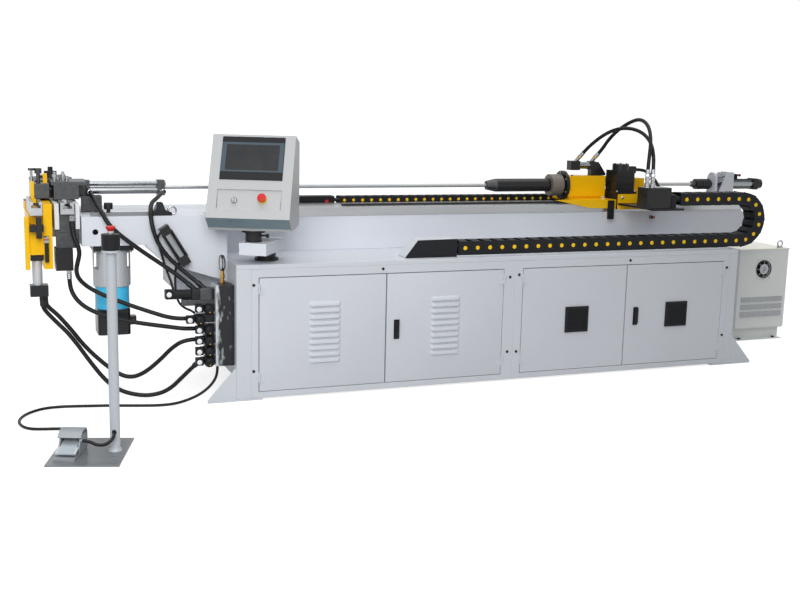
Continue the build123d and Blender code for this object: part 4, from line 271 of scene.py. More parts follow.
def scraped(name, base, gleam):
    """A blackened valve block: dark oxide, scuffed bright along its left corner in 16 mm clouds."""
    made, tree, output = shader(name)
    place = node(tree, "ShaderNodeTexCoord").outputs["Object"]
    scaled = node(tree, "ShaderNodeMapping", {"Vector": place, "Scale": (1.0, 1.0, 0.35)}).outputs["Vector"]
    clouds = {"Vector": scaled, "Scale": 1 / (16 * MM), "Detail": 7.0}
    cloud = node(tree, "ShaderNodeTexNoise", clouds).outputs[0]
    across = node(tree, "ShaderNodeSeparateXYZ", {"Vector": place}).outputs["X"]
    left = (BLOCK_FACE_X + PLAN_SHIFT[0]) * MM
    fade = {"Value": across, 1: left, 2: left + SCUFF_WIDTH * MM, 3: 0.34, 4: -0.03}
    corner = node(tree, "ShaderNodeMapRange", fade).outputs[0]
    worn = node(tree, "ShaderNodeMath", {0: cloud, 1: corner}, operation="ADD").outputs[0]
    bare = node(tree, "ShaderNodeMapRange", {"Value": worn, 1: 0.58, 2: 0.84, 3: 0.0, 4: 1.0}).outputs[0]
    tint = node(
        tree, "ShaderNodeMix", {0: bare, 6: rgba(base), 7: rgba(linear("C4CACE"))}, data_type="RGBA"
    ).outputs[2]
    bump = node(tree, "ShaderNodeBump", {"Height": cloud, "Strength": 0.2, "Distance": 0.5 * MM}).outputs[0]
    oxide = {"Base Color": tint, "Roughness": 0.42, "Metallic": 0.3, "Normal": bump}
    block = node(tree, "ShaderNodeBsdfPrincipled", {**oxide, "Specular IOR Level": gleam})
    tree.links.new(block.outputs[0], output.inputs["Surface"])
    return made


def wrapped_rubber(name, base, gleam):
    """Hose rubber cured in cloth: a fine weave of diagonal lines, drawn 4 mm apart so that it shows."""
    made, tree, output = shader(name)
    across = node(tree, "ShaderNodeTexCoord").outputs["UV"]
    weave = []
    for lean in (0.6, -0.6):
        slant = {"Vector": across, "Rotation": (0.0, 0.0, lean)}
        leaning = node(tree, "ShaderNodeMapping", slant).outputs[0]
        lines = {"Vector": leaning, "Scale": 1 / (4 * MM) / math.tau, "Distortion": 0.3}
        weave.append(node(tree, "ShaderNodeTexWave", lines).outputs[1])
    cloth = node(tree, "ShaderNodeMath", {0: weave[0], 1: weave[1]}, operation="MULTIPLY").outputs[0]
    place = node(tree, "ShaderNodeTexCoord").outputs["Object"]
    bloom = node(tree, "ShaderNodeTexNoise", {"Vector": place, "Scale": 18.0, "Detail": 5.0}).outputs[0]
    tint = node(
        tree, "ShaderNodeMix", {0: bloom, 6: rgba(base, 0.8), 7: rgba(base, 1.5)}, data_type="RGBA"
    ).outputs[2]
    gloss = node(tree, "ShaderNodeMapRange", {"Value": bloom, 1: 0.3, 2: 0.7, 3: 0.36, 4: 0.5}).outputs[0]
    bump = node(tree, "ShaderNodeBump", {"Height": cloth, "Strength": 0.12, "Distance": 0.3 * MM}).outputs[0]
    rubber = node(
        tree,
        "ShaderNodeBsdfPrincipled",
        {"Base Color": tint, "Roughness": gloss, "Normal": bump, "Specular IOR Level": gleam},
    )
    tree.links.new(rubber.outputs[0], output.inputs["Surface"])
    return made


def display_glass(name, base, gleam):
    """Dark panel behind hard glass: nearly black, with a clear reflecting face and faint smears."""
    made, tree, output = shader(name)
    place = node(tree, "ShaderNodeTexCoord").outputs["Object"]
    smear = node(tree, "ShaderNodeTexNoise", {"Vector": place, "Scale": 14.0, "Detail": 6.0}).outputs[0]
    tint = node(
        tree, "ShaderNodeMix", {0: smear, 6: rgba(base, 0.9), 7: rgba(base, 1.12)}, data_type="RGBA"
    ).outputs[2]
    gloss = node(tree, "ShaderNodeMapRange", {"Value": smear, 1: 0.3, 2: 0.7, 3: 0.16, 4: 0.3}).outputs[0]
    face = {"Base Color": tint, "Roughness": gloss, "Specular IOR Level": gleam}
    panel = node(tree, "ShaderNodeBsdfPrincipled", face)
    tree.links.new(panel.outputs[0], output.inputs["Surface"])
    return made


def finish(name):
    """The named finish, made the first time that it is asked for."""
    shades = colours()
    recipes = {
        "powder_coat_grey": (powder_coat, shades.cabinet, 0.4),
        # Beam, head frame and console arm: the cabinet's coat made lighter to paint in the light that falls
        # there
        "powder_coat_beam_painted_light": (powder_coat, shades.beam, 0.4),
        "powder_coat_console": (powder_coat, shades.console, 0.3),
        # Partly painted light: the transformer's coat is lightened for the light that falls off towards it
        "powder_coat_transformer": (powder_coat, shades.transformer, 0.3),
        "enamel_slate": (enamel, shades.slate, 0.2),
        "enamel_yellow": (enamel, shades.yellow, 0.2),
        # Partly painted light: the blue is brightened to outweigh the shade that the motor stands in
        "enamel_blue": (enamel, shades.blue, 0.25),
        "enamel_cream": (powder_coat, shades.cream, 0.3),
        "enamel_black": (enamel, shades.black, 0.25),
        "abs_black": (moulded, shades.black, 0.15),
        "abs_red": (moulded, shades.red, 0.2),
        "abs_yellow": (moulded, shades.chain_dot, 0.2),
        "abs_white": (moulded, linear("F0F3F6"), 0.4),
        "abs_bezel": (moulded, linear("26272A"), 0.12),
        "polycarbonate_grey": (moulded, linear("4C5862"), 0.12),
        "nylon_black": (moulded, shades.chain, 0.12),
        "acetal_yellow": (moulded, shades.chain_dot, 0.2),
        "steel_ground": (ground, shades.steel, 0.5),
        "steel_milled": (cast, linear("D3D6D9"), 0.4),
        "steel_blued": (blued, shades.tool_steel, 0.3),
        "steel_black_oxide": (blued, linear("2B2C2E"), 0.2),
        "steel_cast_brown": (cast, linear("77706A"), 0.3),
        "steel_plate": (cast, linear("7F8286"), 0.3),
        "steel_rolled": (rolled, linear("7C7F83"), 0.4),
        "zinc_bright": (plated, linear("A0A3A6"), 0.5),
        "chrome_hard": (plated, linear("8A8D90"), 0.5),
        "brass_turned": (plated, linear("B08B4A"), 0.5),
        "aluminium_cast": (cast, linear("BFC2C6"), 0.4),
        "aluminium_pedal": (cast, linear("B4BCC2"), 0.3),
        # Painted shade: a darker copy of the pedal's aluminium for the hood, whose top faces the light
        "aluminium_pedal_painted_shade": (cast, linear("8F959A"), 0.3),
        "stand_enamel": (powder_coat, shades.stand, 0.4),
        "block_blackened": (scraped, linear("2A2B2D"), 0.25),
        "rubber_wrapped": (wrapped_rubber, shades.hose, 0.2),
        "glass_display": (display_glass, linear("37383A"), 0.12),
        # Partly painted light: the transformer's vent strips are lightened for the same falling-off light
        "vent_strip": (slotted, linear("C4C8CB"), 0.2),
        "drive_grey": (powder_coat, linear("6F7478"), 0.4),
        "oil_tank_enamel": (enamel, linear("8F9A9C"), 0.4),
    }
    recipe, base, gleam = recipes[name]
    return bpy.data.materials.get(name) or recipe(name, tuple(base), gleam)


def metres(points):
    """Plan millimetres to the frame's metres."""
    return (np.asarray(points, float) + PLAN_SHIFT) * MM


def unit(vector):
    vector = np.asarray(vector, float)
    return vector / np.linalg.norm(vector)


def grid_faces(rows, columns, close_rows=False, close_columns=False):
    """Quads between neighbouring points of a grid, joined end to end along a closed direction."""
    row = np.arange(rows if close_rows else rows - 1)[:, None]
    column = np.arange(columns if close_columns else columns - 1)[None, :]
    next_row = (row + 1) % rows
    next_column = (column + 1) % columns
    corners = (
        row * columns + column,
        row * columns + next_column,
        next_row * columns + next_column,
        next_row * columns + column,
    )
    return np.stack(corners, -1).reshape(-1, 4)


def turned(profile, origin, axis, count=28):
    """Surface of revolution: pairs of radius and height, turned a full circle about the axis."""
    radius, height = np.array(profile, float).T
    axis = unit(axis)
    side = unit(np.cross(axis, Z_AXIS if abs(axis[2]) < 0.9 else X_AXIS))
    angle = np.linspace(0, math.tau, count, endpoint=False)[:, None]
    ring = np.cos(angle) * side + np.sin(angle) * np.cross(axis, side)
    points = np.asarray(origin, float) + height[:, None, None] * axis + radius[:, None, None] * ring[None]
    return points.reshape(-1, 3), [grid_faces(len(radius), count, close_columns=True)]


def rod(radius, length, start=0.0):
    """Profile of a plain round bar: nought to the radius, along the length, and back to nought."""
    return ((0.0, start), (radius, start), (radius, start + length), (0.0, start + length))


def rounded_box(x, y, z, radius, steps=2):
    """Six grids on a box: a point is clamped to the inner box, then pushed out by the edge radius."""
    spans = np.array((x, y, z), float)
    centre = spans.mean(1)
    half = np.ptp(spans, axis=1) / 2
    inner = half - radius
    lean = radius * np.tan(np.linspace(0, math.pi / 4, steps + 1))
    lines = [np.concatenate((-core - lean[::-1], core + lean)) for core in inner]
    count = 2 * (steps + 1)
    points = []
    for axis in range(3):
        first, second = (axis + 1) % 3, (axis + 2) % 3
        across, along = np.meshgrid(lines[first], lines[second], indexing="ij")
        for side in (-half[axis], half[axis]):
            flat = np.empty((count, count, 3))
            flat[..., axis] = side
            flat[..., first] = across
            flat[..., second] = along
            points.append(flat.reshape(-1, 3))
    points = np.concatenate(points)
    core = np.clip(points, -inner, inner)
    out = points - core
    points = centre + core + radius * out / np.linalg.norm(out, axis=1)[:, None]
    quads = grid_faces(count, count)
    return points, [quads + side * count * count for side in range(6)]


def inset(outline, edge):
    """Each corner of a closed outline moved inwards along its two sides' normals by the edge width."""
    before = np.roll(outline, 1, 0)
    after = np.roll(outline, -1, 0)
    area = np.sum(outline[:, 0] * after[:, 1] - outline[:, 1] * after[:, 0])
    turn = math.copysign(1.0, area)
    into = outline - before
    away = after - outline
    first = turn * np.stack((-into[:, 1], into[:, 0]), 1) / np.linalg.norm(into, axis=1)[:, None]
    second = turn * np.stack((-away[:, 1], away[:, 0]), 1) / np.linalg.norm(away, axis=1)[:, None]
    return outline + edge * (first + second) / (1 + np.sum(first * second, 1))[:, None]


def plate(outline, low, high, edge, origin, across, up, out):
    """A flat outline carried along its normal: an inset ring, two full rings and an inset ring, capped."""
    outline = np.array(outline, float)
    small = inset(outline, edge)
    rings = ((small, low), (outline, low + edge), (outline, high - edge), (small, high))
    points = [
        np.asarray(origin, float) + flat[:, :1] * across + flat[:, 1:] * up + depth * np.asarray(out)
        for flat, depth in rings
    ]
    count = len(outline)
    caps = np.arange(count)[None, :]
    faces = [grid_faces(4, count, close_columns=True), caps[:, ::-1], caps + 3 * count]
    return np.concatenate(points), faces


def rounded_outline(width, height, radius, steps=5):
    """A rectangle whose corners are quarter circles, anticlockwise from the right."""
    angle = np.linspace(0, math.pi / 2, steps)
    corners = ((1, 1, 0), (-1, 1, 1), (-1, -1, 2), (1, -1, 3))
    parts = [
        np.stack(
            (
                right * (width / 2 - radius) + radius * np.cos(angle + quarter * math.pi / 2),
                top * (height / 2 - radius) + radius * np.sin(angle + quarter * math.pi / 2),
            ),
            1,
        )
        for right, top, quarter in corners
    ]
    return np.concatenate(parts)


def swept(path, radius, count=14):
    """A round tube: a circle carried along the path, square to its direction at each point, with flat ends.

    The circle's first spoke lies in the path's own best plane, so that it never turns over. Gives the
    points, the faces and each face corner's place along and around the tube in metres.
    """
    path = np.asarray(path, float)
    step = np.gradient(path, axis=0)
    along = step / np.linalg.norm(step, axis=1)[:, None]
    plane = np.linalg.svd(path - path.mean(0))[2][2]
    side = np.cross(along, plane)
    side /= np.linalg.norm(side, axis=1)[:, None]
    other = np.cross(along, side)
    angle = np.linspace(0, math.tau, count, endpoint=False)
    circle = np.cos(angle)[None, :, None] * side[:, None] + np.sin(angle)[None, :, None] * other[:, None]
    points = path[:, None] + np.asarray(radius, float).reshape(-1, 1, 1) * circle
    rows = len(path)
    distance = np.concatenate(([0], np.cumsum(np.linalg.norm(np.diff(path, axis=0), axis=1)))) * MM
    row = np.repeat(np.arange(rows - 1), count)
    column = np.tile(np.arange(count), rows - 1)
    girth = math.tau * float(np.max(radius)) * MM / count
    run = np.stack((distance[row], distance[row], distance[row + 1], distance[row + 1]), 1)
    turn = np.stack((column, column + 1, column + 1, column), 1) * girth
    corners = np.concatenate((np.stack((run, turn), -1).reshape(-1, 2), np.zeros((2 * count, 2))))
    caps = np.arange(count)[None, :]
    faces = [grid_faces(rows, count, close_columns=True), caps[:, ::-1], caps + (rows - 1) * count]
    return points.reshape(-1, 3), faces, corners


def settle(piece, body, nodes=(), edge=0.0):
    """Round a piece's edges, let it ride on its body, and let it stand for its nodes."""
    if edge:
        bevel = piece.modifiers.new("edge", "BEVEL")
        bevel.width = edge
        bevel.segments = 2
        bevel.limit_method = "ANGLE"
        bevel.angle_limit = math.radians(40)
        bevel.harden_normals = True
    if body:
        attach(piece, body)
    if nodes:
        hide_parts(*nodes)
    return piece


def smooth(mesh, crease=32.0):
    """Smooth shading that breaks at corners sharper than the crease angle in degrees."""
    mesh.shade_smooth()
    mesh.set_sharp_from_angle(angle=math.radians(crease))


def build(name, parts, body, nodes=(), edge=0.0):
    """One object from parts, each a surface in plan millimetres and the name of its finish."""
    finishes = list(dict.fromkeys(part[1] for part in parts))
    starts = np.cumsum([0] + [len(surface[0]) for surface, _ in parts])
    faces = []
    slots = []
    for (surface, name_of_finish), start in zip(parts, starts):
        for group in surface[1]:
            faces += (np.asarray(group) + start).tolist()
            slots += [finishes.index(name_of_finish)] * len(group)
    mesh = bpy.data.meshes.new(name)
    mesh.from_pydata(metres(np.concatenate([surface[0] for surface, _ in parts])).tolist(), [], faces)
    mesh.polygons.foreach_set("material_index", slots)
    shape = bmesh.new()
    shape.from_mesh(mesh)
    bmesh.ops.remove_doubles(shape, verts=shape.verts, dist=0.002 * MM)
    bmesh.ops.recalc_face_normals(shape, faces=shape.faces)
    shape.to_mesh(mesh)
    shape.free()
    smooth(mesh)
    for name_of_finish in finishes:
        mesh.materials.append(finish(name_of_finish))
    piece = bpy.data.objects.new(name, mesh)
    bpy.context.scene.collection.objects.link(piece)
    return settle(piece, body, nodes, edge)


def inside(centres, spans):
    """Which centres lie within the given x, y and z spans; None leaves an axis free."""
    found = np.ones(len(centres), bool)
    for axis, span in enumerate(spans):
        if span is not None:
            found &= (centres[:, axis] > span[0]) & (centres[:, axis] < span[1])
    return found


def skin(name, base, rules=(), edge=None, drop=(), crease=32.0, local=None):
    """A copy of a CAD node with its triangles merged and its edges rounded.

    Faces whose centres lie in a rule's x, y and z spans take the rule's finish, and those in a drop's spans
    are left out. The drop's spans are along the plan's axes, or along those that local gives places in.
    """
    source = frame["nodes"][name]
    shape = bmesh.new()
    shape.from_mesh(source.data)
    bmesh.ops.remove_doubles(shape, verts=shape.verts, dist=0.01 * MM)
    bmesh.ops.dissolve_limit(shape, angle_limit=math.radians(0.4), verts=shape.verts, edges=shape.edges)
    shape.faces.ensure_lookup_table()
    if drop:
        centres = np.array([face.calc_center_median() for face in shape.faces]) / MM - PLAN_SHIFT
        places = local(centres) if local else centres
        gone = np.any([inside(places, spans) for spans in drop], axis=0)
        bmesh.ops.delete(shape, geom=[shape.faces[place] for place in np.flatnonzero(gone)], context="FACES")
    mesh = bpy.data.meshes.new(name + "_skin")
    shape.to_mesh(mesh)
    shape.free()
    if "custom_normal" in mesh.attributes:
        mesh.attributes.remove(mesh.attributes["custom_normal"])
    centres = np.empty(3 * len(mesh.polygons))
    mesh.polygons.foreach_get("center", centres)
    centres = centres.reshape(-1, 3) / MM - PLAN_SHIFT
    finishes = list(dict.fromkeys([base] + [rule[0] for rule in rules]))
    places = np.zeros(len(centres), int)
    for name_of_finish, *spans in rules:
        places[inside(centres, spans)] = finishes.index(name_of_finish)
    mesh.polygons.foreach_set("material_index", places)
    smooth(mesh, crease)
    for name_of_finish in finishes:
        mesh.materials.append(finish(name_of_finish))
    piece = bpy.data.objects.new(name + "_skin", mesh)
    bpy.context.scene.collection.objects.link(piece)
    return settle(piece, source["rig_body"], [name], sizes().machined_edge if edge is None else edge)


def cap_screw(at, axis, radius, height):
    """A socket-head screw: a drum with a chamfered rim and a socket about half as deep."""
    profile = (
        (0.0, height * 0.45), (radius * 0.5, height * 0.45), (radius * 0.5, height), (radius * 0.85, height),
        (radius, height * 0.85), (radius, 0.0), (0.0, 0.0),
    )
    return turned(profile, at, axis, 18)


def hex_head(at, axis, radius, height):
    """A hexagon bolt head with a chamfered top."""
    profile = ((0.0, height), (radius * 0.8, height), (radius, height * 0.8), (radius, 0.0), (0.0, 0.0))
    return turned(profile, at, axis, 6)


def screws(places, axis, radius, height, metal):
    """One socket-head screw of the metal at each place."""
    return [(cap_screw(at, axis, radius, height), metal) for at in places]


def bolt_corners(centre, first, second):
    """Four corners of a rectangle: the centre with each arm added or taken away."""
    signs = ((-1, -1), (-1, 1), (1, -1), (1, 1))
    return [np.asarray(centre, float) + right * first + up * second for right, up in signs]


def bolt_circle(centre, first, second, count, start=0.0):
    """Points round a circle: the centre plus both arms by the cosine and the sine of equal turns."""
    turn = (start + np.arange(count)[:, None] / count) * math.tau
    return np.asarray(centre, float) + np.cos(turn) * first + np.sin(turn) * second


# Stage: levels of the floor and the sky, where 1 is white, and the overhead light's strength and degrees
FLOOR_TONE = 0.5
FLOOR_LIFT = 0.78
AMBIENT = 0.2
WHITE = (1.0, 1.0, 1.0, 1.0)
OVERHEAD = 1.55
OVERHEAD_ANGLE = 60.0
# Key light: watts, metres across, spread in degrees, then its place and aim in plan millimetres
LAMP_POWER = 79.0
LAMP_SIZE = 3.4
LAMP_SPREAD = 110.0
LAMP_AT = (-1250.0, -4150.0, 3000.0)
LAMP_AIM = (0.0, 0.0, 1000.0)
# Floor in metres
FLOOR_REACH = 60.0
FLOOR_Z = -0.5 * MM
# Camera as the photograph's straight edges give it: plan millimetres, degrees, lens millimetres and metres
CAMERA_AT = (-1003.8, -4947.0, 1400.0)
CAMERA_YAW = 21.471
CAMERA_PITCH = 10.154
CAMERA_ROLL = -1.360
CAMERA_LENS = 50.0
CAMERA_SENSOR = 36.0
CAMERA_REACH = 200.0


def seen_directly(tree):
    """One for rays that come straight from the camera, a mirror or a clear part, else nought."""
    rays = node(tree, "ShaderNodeLightPath").outputs
    mirrored = node(
        tree, "ShaderNodeMath", {0: rays["Is Camera Ray"], 1: rays["Is Glossy Ray"]}, operation="MAXIMUM"
    ).outputs[0]
    return node(
        tree, "ShaderNodeMath", {0: mirrored, 1: rays["Is Transmission Ray"]}, operation="MAXIMUM"
    ).outputs[0]


class PIPEBENDER_OT_stage(Operator):
    """Make the pale floor, the soft light and the camera"""

    bl_idname = "pipe_bender.stage"
    bl_label = "Stage, light and camera"

    def execute(self, context):
        scene = context.scene
        scene.view_settings.view_transform = "Standard"
        floor = bpy.data.meshes.new("floor")
        signs = ((-1, -1), (1, -1), (1, 1), (-1, 1))
        corners = [(x * FLOOR_REACH, y * FLOOR_REACH, FLOOR_Z) for x, y in signs]
        floor.from_pydata(corners, [], [(0, 1, 2, 3)])
        made, tree, output = shader("studio_floor")
        pale = node(tree, "ShaderNodeBsdfDiffuse", {"Color": (FLOOR_TONE, FLOOR_TONE, FLOOR_TONE, 1.0)})
        share = {0: seen_directly(tree), 1: FLOOR_LIFT}
        lift = node(tree, "ShaderNodeMath", share, operation="MULTIPLY").outputs[0]
        glow = node(tree, "ShaderNodeEmission", {"Color": WHITE, "Strength": lift})
        both = node(tree, "ShaderNodeAddShader", {0: pale.outputs[0], 1: glow.outputs[0]})
        tree.links.new(both.outputs[0], output.inputs["Surface"])
        floor.materials.append(made)
        stage = bpy.data.objects.new("floor", floor)
        scene.collection.objects.link(stage)

        world = bpy.data.worlds.new("studio")
        world.use_nodes = True
        tree = world.node_tree
        tree.nodes.clear()
        levels = {"Value": seen_directly(tree), 3: AMBIENT, 4: 1.0}
        strength = node(tree, "ShaderNodeMapRange", levels).outputs[0]
        sky = node(tree, "ShaderNodeBackground", {"Color": WHITE, "Strength": strength})
        output = node(tree, "ShaderNodeOutputWorld")
        tree.links.new(sky.outputs[0], output.inputs["Surface"])
        scene.world = world

        overhead = bpy.data.lights.new("overhead", "SUN")
        overhead.energy = OVERHEAD
        overhead.angle = math.radians(OVERHEAD_ANGLE)
        holder = bpy.data.objects.new("overhead", overhead)
        scene.collection.objects.link(holder)
        key = bpy.data.lights.new("key", "AREA")
        key.energy = LAMP_POWER
        key.size = LAMP_SIZE
        key.spread = math.radians(LAMP_SPREAD)
        holder = bpy.data.objects.new("key", key)
        toward = unit(np.subtract(LAMP_AIM, LAMP_AT))
        across = unit(np.cross(toward, Z_AXIS))
        turn = Matrix(np.stack((across, np.cross(across, toward), -toward), 1).tolist()).to_4x4()
        holder.matrix_world = Matrix.Translation(metres(LAMP_AT)) @ turn
        scene.collection.objects.link(holder)

        lens = bpy.data.cameras.new("camera")
        lens.lens = CAMERA_LENS
        lens.sensor_width = CAMERA_SENSOR
        lens.clip_end = CAMERA_REACH
        eye = bpy.data.objects.new("camera", lens)
        yaw, pitch, roll = (math.radians(value) for value in (CAMERA_YAW, CAMERA_PITCH, CAMERA_ROLL))
        ahead = np.array((math.sin(yaw), math.cos(yaw), 0.0))
        forward = math.cos(pitch) * ahead - math.sin(pitch) * Z_AXIS
        level = np.array((math.cos(yaw), -math.sin(yaw), 0.0))
        below = np.cross(forward, level)
        right = math.cos(roll) * level + math.sin(roll) * below
        down = math.cos(roll) * below - math.sin(roll) * level
        turn = Matrix(np.stack((right, -down, -forward), 1).tolist()).to_4x4()
        eye.matrix_world = Matrix.Translation(metres(CAMERA_AT)) @ turn
        scene.collection.objects.link(eye)
        scene.camera = eye
        return {"FINISHED"}


# Cabinet: screws on the front frames, frames, bays, hinges, doors, latches, grilles and louvres
SCREW_POINTS = (
    (216, 548), (216, 140), (851, 604), (1535, 540), (1535, 155),
    (1586, 550), (1586, 153), (2238, 604), (2856, 546), (2856, 170),
)
FRAMES_X = ((205.0, 1565.9), (1566.1, 2875.0))
FRAME_Z = (10.0, 622.0)
BAYS_X = ((240.0, 1503.0), (1609.0, 2836.0))
BAY_Z = (38.0, 582.0)
FRAME_BACK = 10.0
HINGES_Z = (85.0, 505.0)
HINGE_REACH = 11.0
HINGE_PIN_INSET = 1.5
HINGE_LEAF_Z = (24.6, 48.0)
HINGE_FLAP_Y = (-3.0, 0.2)
HINGE_PIN_Y = -5.0
HINGE_PIN_RADIUS = 5.0
DOORS = ("left_bay_door_left", "left_bay_door_right", "right_bay_door_left", "right_bay_door_right")
GRILLES_X = (1929.0, 2541.0)
GRILLE_HALF = 70.0
GRILLE_Y = (-12.0, -0.1)
GRILLE_Z = (230.0, 380.0)
LATCHES_X = (927.0, 2288.0)
LATCH_HALF = 16.0
LATCH_Y = (-5.0, -0.1)
LATCH_Z = (250.0, 360.0)
LATCH_LOCK = ((0.0, 0.8), (4.0, 0.8), (5.5, 1.6), (6.5, 1.2), (6.5, -1.0), (0.0, -1.0))
LATCH_LOCK_Y = -14.0
LATCH_LOCK_Z = 283.0
DOOR_Z = (41.0, 579.0)
LOUVRED_DOORS_X = ((243.0, 868.5), (874.5, 1500.0))
LOUVRES_X = (562.0, 1186.0)
LOUVRE_HALF = 78.0
LOUVRE_ROWS = 165.0 + 30.2 * np.arange(10)
LOUVRE_TAPER = 16.0
# The CAD's plain louvres, which are replaced
PLAIN_LOUVRE_HALF = 80.0
PLAIN_LOUVRE_Y = (-10.0, -0.1)
# Each louvre's section from its root down to its lip: how far out and how high
LOUVRE_SECTION = np.array(
    ((-0.4, 22.0), (4.0, 20.0), (7.6, 16.5), (9.8, 12.0), (10.8, 6.0), (10.8, 1.0), (9.0, 0.0), (-0.4, 0.4))
)


def frame_ring(outer_x, outer_z, inner_x, inner_z, back, edge):
    """A flat rectangular ring that faces the front: six rectangles from its outer to its inner back edge."""
    loops = (
        (outer_x, outer_z, 0.0, back), (outer_x, outer_z, 0.0, edge), (outer_x, outer_z, edge, 0.0),
        (inner_x, inner_z, -edge, 0.0), (inner_x, inner_z, 0.0, edge), (inner_x, inner_z, 0.0, back),
    )
    points = [
        (
            (x[0] + step, y, z[0] + step), (x[1] - step, y, z[0] + step),
            (x[1] - step, y, z[1] - step), (x[0] + step, y, z[1] - step),
        )
        for x, z, step, y in loops
    ]
    return np.array(points).reshape(-1, 3), [grid_faces(len(loops), 4, close_rows=True, close_columns=True)]


def louvre(x, z):
    """A pressed louvre: its section is carried along X, and its reach swells from nought at both ends.

    The reach follows a quarter sine over the taper's length.
    """
    taper = np.linspace(0.0, LOUVRE_TAPER, 6)
    across = np.concatenate((taper, 2 * LOUVRE_HALF - taper[::-1]))
    near = np.minimum(across, 2 * LOUVRE_HALF - across)
    swell = 0.03 + 0.97 * np.sin(np.clip(near / LOUVRE_TAPER, 0.0, 1.0) * math.pi / 2)
    out, up = LOUVRE_SECTION.T
    points = np.empty((len(across), len(out), 3))
    points[:, :, 0] = x - LOUVRE_HALF + across[:, None]
    points[:, :, 1] = -out * swell[:, None]
    points[:, :, 2] = z + up
    rows, columns = len(across), len(out)
    caps = np.arange(columns)[None, :]
    faces = [grid_faces(rows, columns, close_columns=True), caps, caps + columns * (rows - 1)]
    return points.reshape(-1, 3), faces


class PIPEBENDER_OT_cabinet(Operator):
    """Finish the cabinet, its frames, feet, doors, latches and inner equipment"""

    bl_idname = "pipe_bender.cabinet"
    bl_label = "Cabinet"

    def execute(self, context):
        edge = sizes().edge
        for name in ("cabinet_shell", "feet"):
            skin(name, "powder_coat_grey", edge=edge)
        parts = []
        for frame_x, bay_x in zip(FRAMES_X, BAYS_X):
            ring = frame_ring(frame_x, FRAME_Z, bay_x, BAY_Z, FRAME_BACK, edge / MM)
            parts.append((ring, "powder_coat_grey"))
            for side_x, into in zip(bay_x, (1.0, -1.0)):
                pin_x = side_x + into * HINGE_PIN_INSET
                flap_x = sorted((pin_x, side_x - into * HINGE_REACH))
                for z in HINGES_Z:
                    low, high = z + HINGE_LEAF_Z[0], z + HINGE_LEAF_Z[1]
                    flap = rounded_box(flap_x, HINGE_FLAP_Y, (low, high), 0.8, 1)
                    pin = turned(rod(HINGE_PIN_RADIUS, high - low), (pin_x, HINGE_PIN_Y, low), Z_AXIS, 20)
                    parts += [(flap, "powder_coat_grey"), (pin, "powder_coat_grey")]
        parts += screws([(x, 0.0, z) for x, z in SCREW_POINTS], -Y_AXIS, 7.0, 3.2, "steel_black_oxide")
        build("door_frames", parts, "machine", ["front_frames"])
        for place, name in enumerate(DOORS):
            rules = []
            if place % 2:
                x = LATCHES_X[place // 2]
                rules.append(("abs_black", (x - LATCH_HALF, x + LATCH_HALF), LATCH_Y, LATCH_Z))
            if place > 1:
                x = GRILLES_X[place - 2]
                rules.append(("abs_black", (x - GRILLE_HALF, x + GRILLE_HALF), GRILLE_Y, GRILLE_Z))
            drop = []
            if place < 2:
                x = LOUVRES_X[place]
                # The sheet's face, then the plain louvres
                plain_x = (x - PLAIN_LOUVRE_HALF, x + PLAIN_LOUVRE_HALF)
                plain_z = (LOUVRE_ROWS[0] - 5, LOUVRE_ROWS[-1] + 25)
                drop = [(None, (-0.1, 0.1), None), (plain_x, PLAIN_LOUVRE_Y, plain_z)]
                sheet = rounded_box(LOUVRED_DOORS_X[place], (0.0, 2.0), DOOR_Z, 0.9)
                parts = [(sheet, "powder_coat_grey")]
                parts += [(louvre(x, z), "powder_coat_grey") for z in LOUVRE_ROWS]
                build(name + "_front", parts, f"door_{place + 1}")
            skin(name, "powder_coat_grey", rules, edge=edge, drop=drop)
        for x, side in zip(LATCHES_X, ("left", "right")):
            name = f"{side}_bay_latch"
            skin(name, "abs_black", edge=2.0 * MM)
            lock = turned(LATCH_LOCK, (x, LATCH_LOCK_Y, LATCH_LOCK_Z), -Y_AXIS)
            build(f"{name}_lock", [(lock, "steel_black_oxide")], f"latch_{side}")
        # Pump motor, then the filler cap
        skin(
            "power_unit",
            "oil_tank_enamel",
            (
                ("enamel_blue", (405, 595), (405, 595), (331, 575)),
                ("steel_black_oxide", (700, 780), (360, 440), (331, 370)),
            ),
        )
        devices = ("drive_grey", None, (590, 777), None)
        skin("electrical_plate", "zinc_bright", (devices,))
        return {"FINISHED"}


# Proximity switch on the beam's front: its barrel, tip and holder
BEAM_SWITCH_AT = np.array((2630.0, 430.0, 780.0))
BEAM_SWITCH_BARREL = ((0.0, 0.0), (5.5, 0.0), (6.0, 1.0), (6.0, 26.0), (0.0, 26.0))
BEAM_SWITCH_TIP = ((0.0, 33.0), (5.0, 33.0), (7.5, 31.0), (7.5, 24.0), (0.0, 24.0))
BEAM_SWITCH_HOLDER = ((2636.0, 2648.0), (424.0, 440.2), (771.0, 789.0))


class PIPEBENDER_OT_beam(Operator):
    """Finish the beam, its guide slab with the rack, and the trays of the cable chains"""

    bl_idname = "pipe_bender.beam"
    bl_label = "Beam and trays"

    def execute(self, context):
        edge = sizes().edge
        skin("main_beam", "powder_coat_beam_painted_light", edge=edge)
        # Rack
        skin(
            "guide_slab",
            "steel_ground",
            (("steel_blued", None, (505, 540), (859.5, 871)),),
            edge=0.0,
        )
        # Front of the front chain's cover, then the rear chain's cover
        covers = (
            ("nylon_black", None, (-500, 55), (650.5, 735)),
            ("nylon_black", None, (703.5, 777), (848.5, 894)),
        )
        skin("chain_trays", "powder_coat_grey", covers, edge=edge)
        switch = [
            (turned(BEAM_SWITCH_BARREL, BEAM_SWITCH_AT, X_AXIS), "steel_cast_brown"),
            (turned(BEAM_SWITCH_TIP, BEAM_SWITCH_AT, X_AXIS), "abs_red"),
            (rounded_box(*BEAM_SWITCH_HOLDER, 1.5), "abs_black"),
        ]
        build("beam_sensor", switch, "machine")
        return {"FINISHED"}


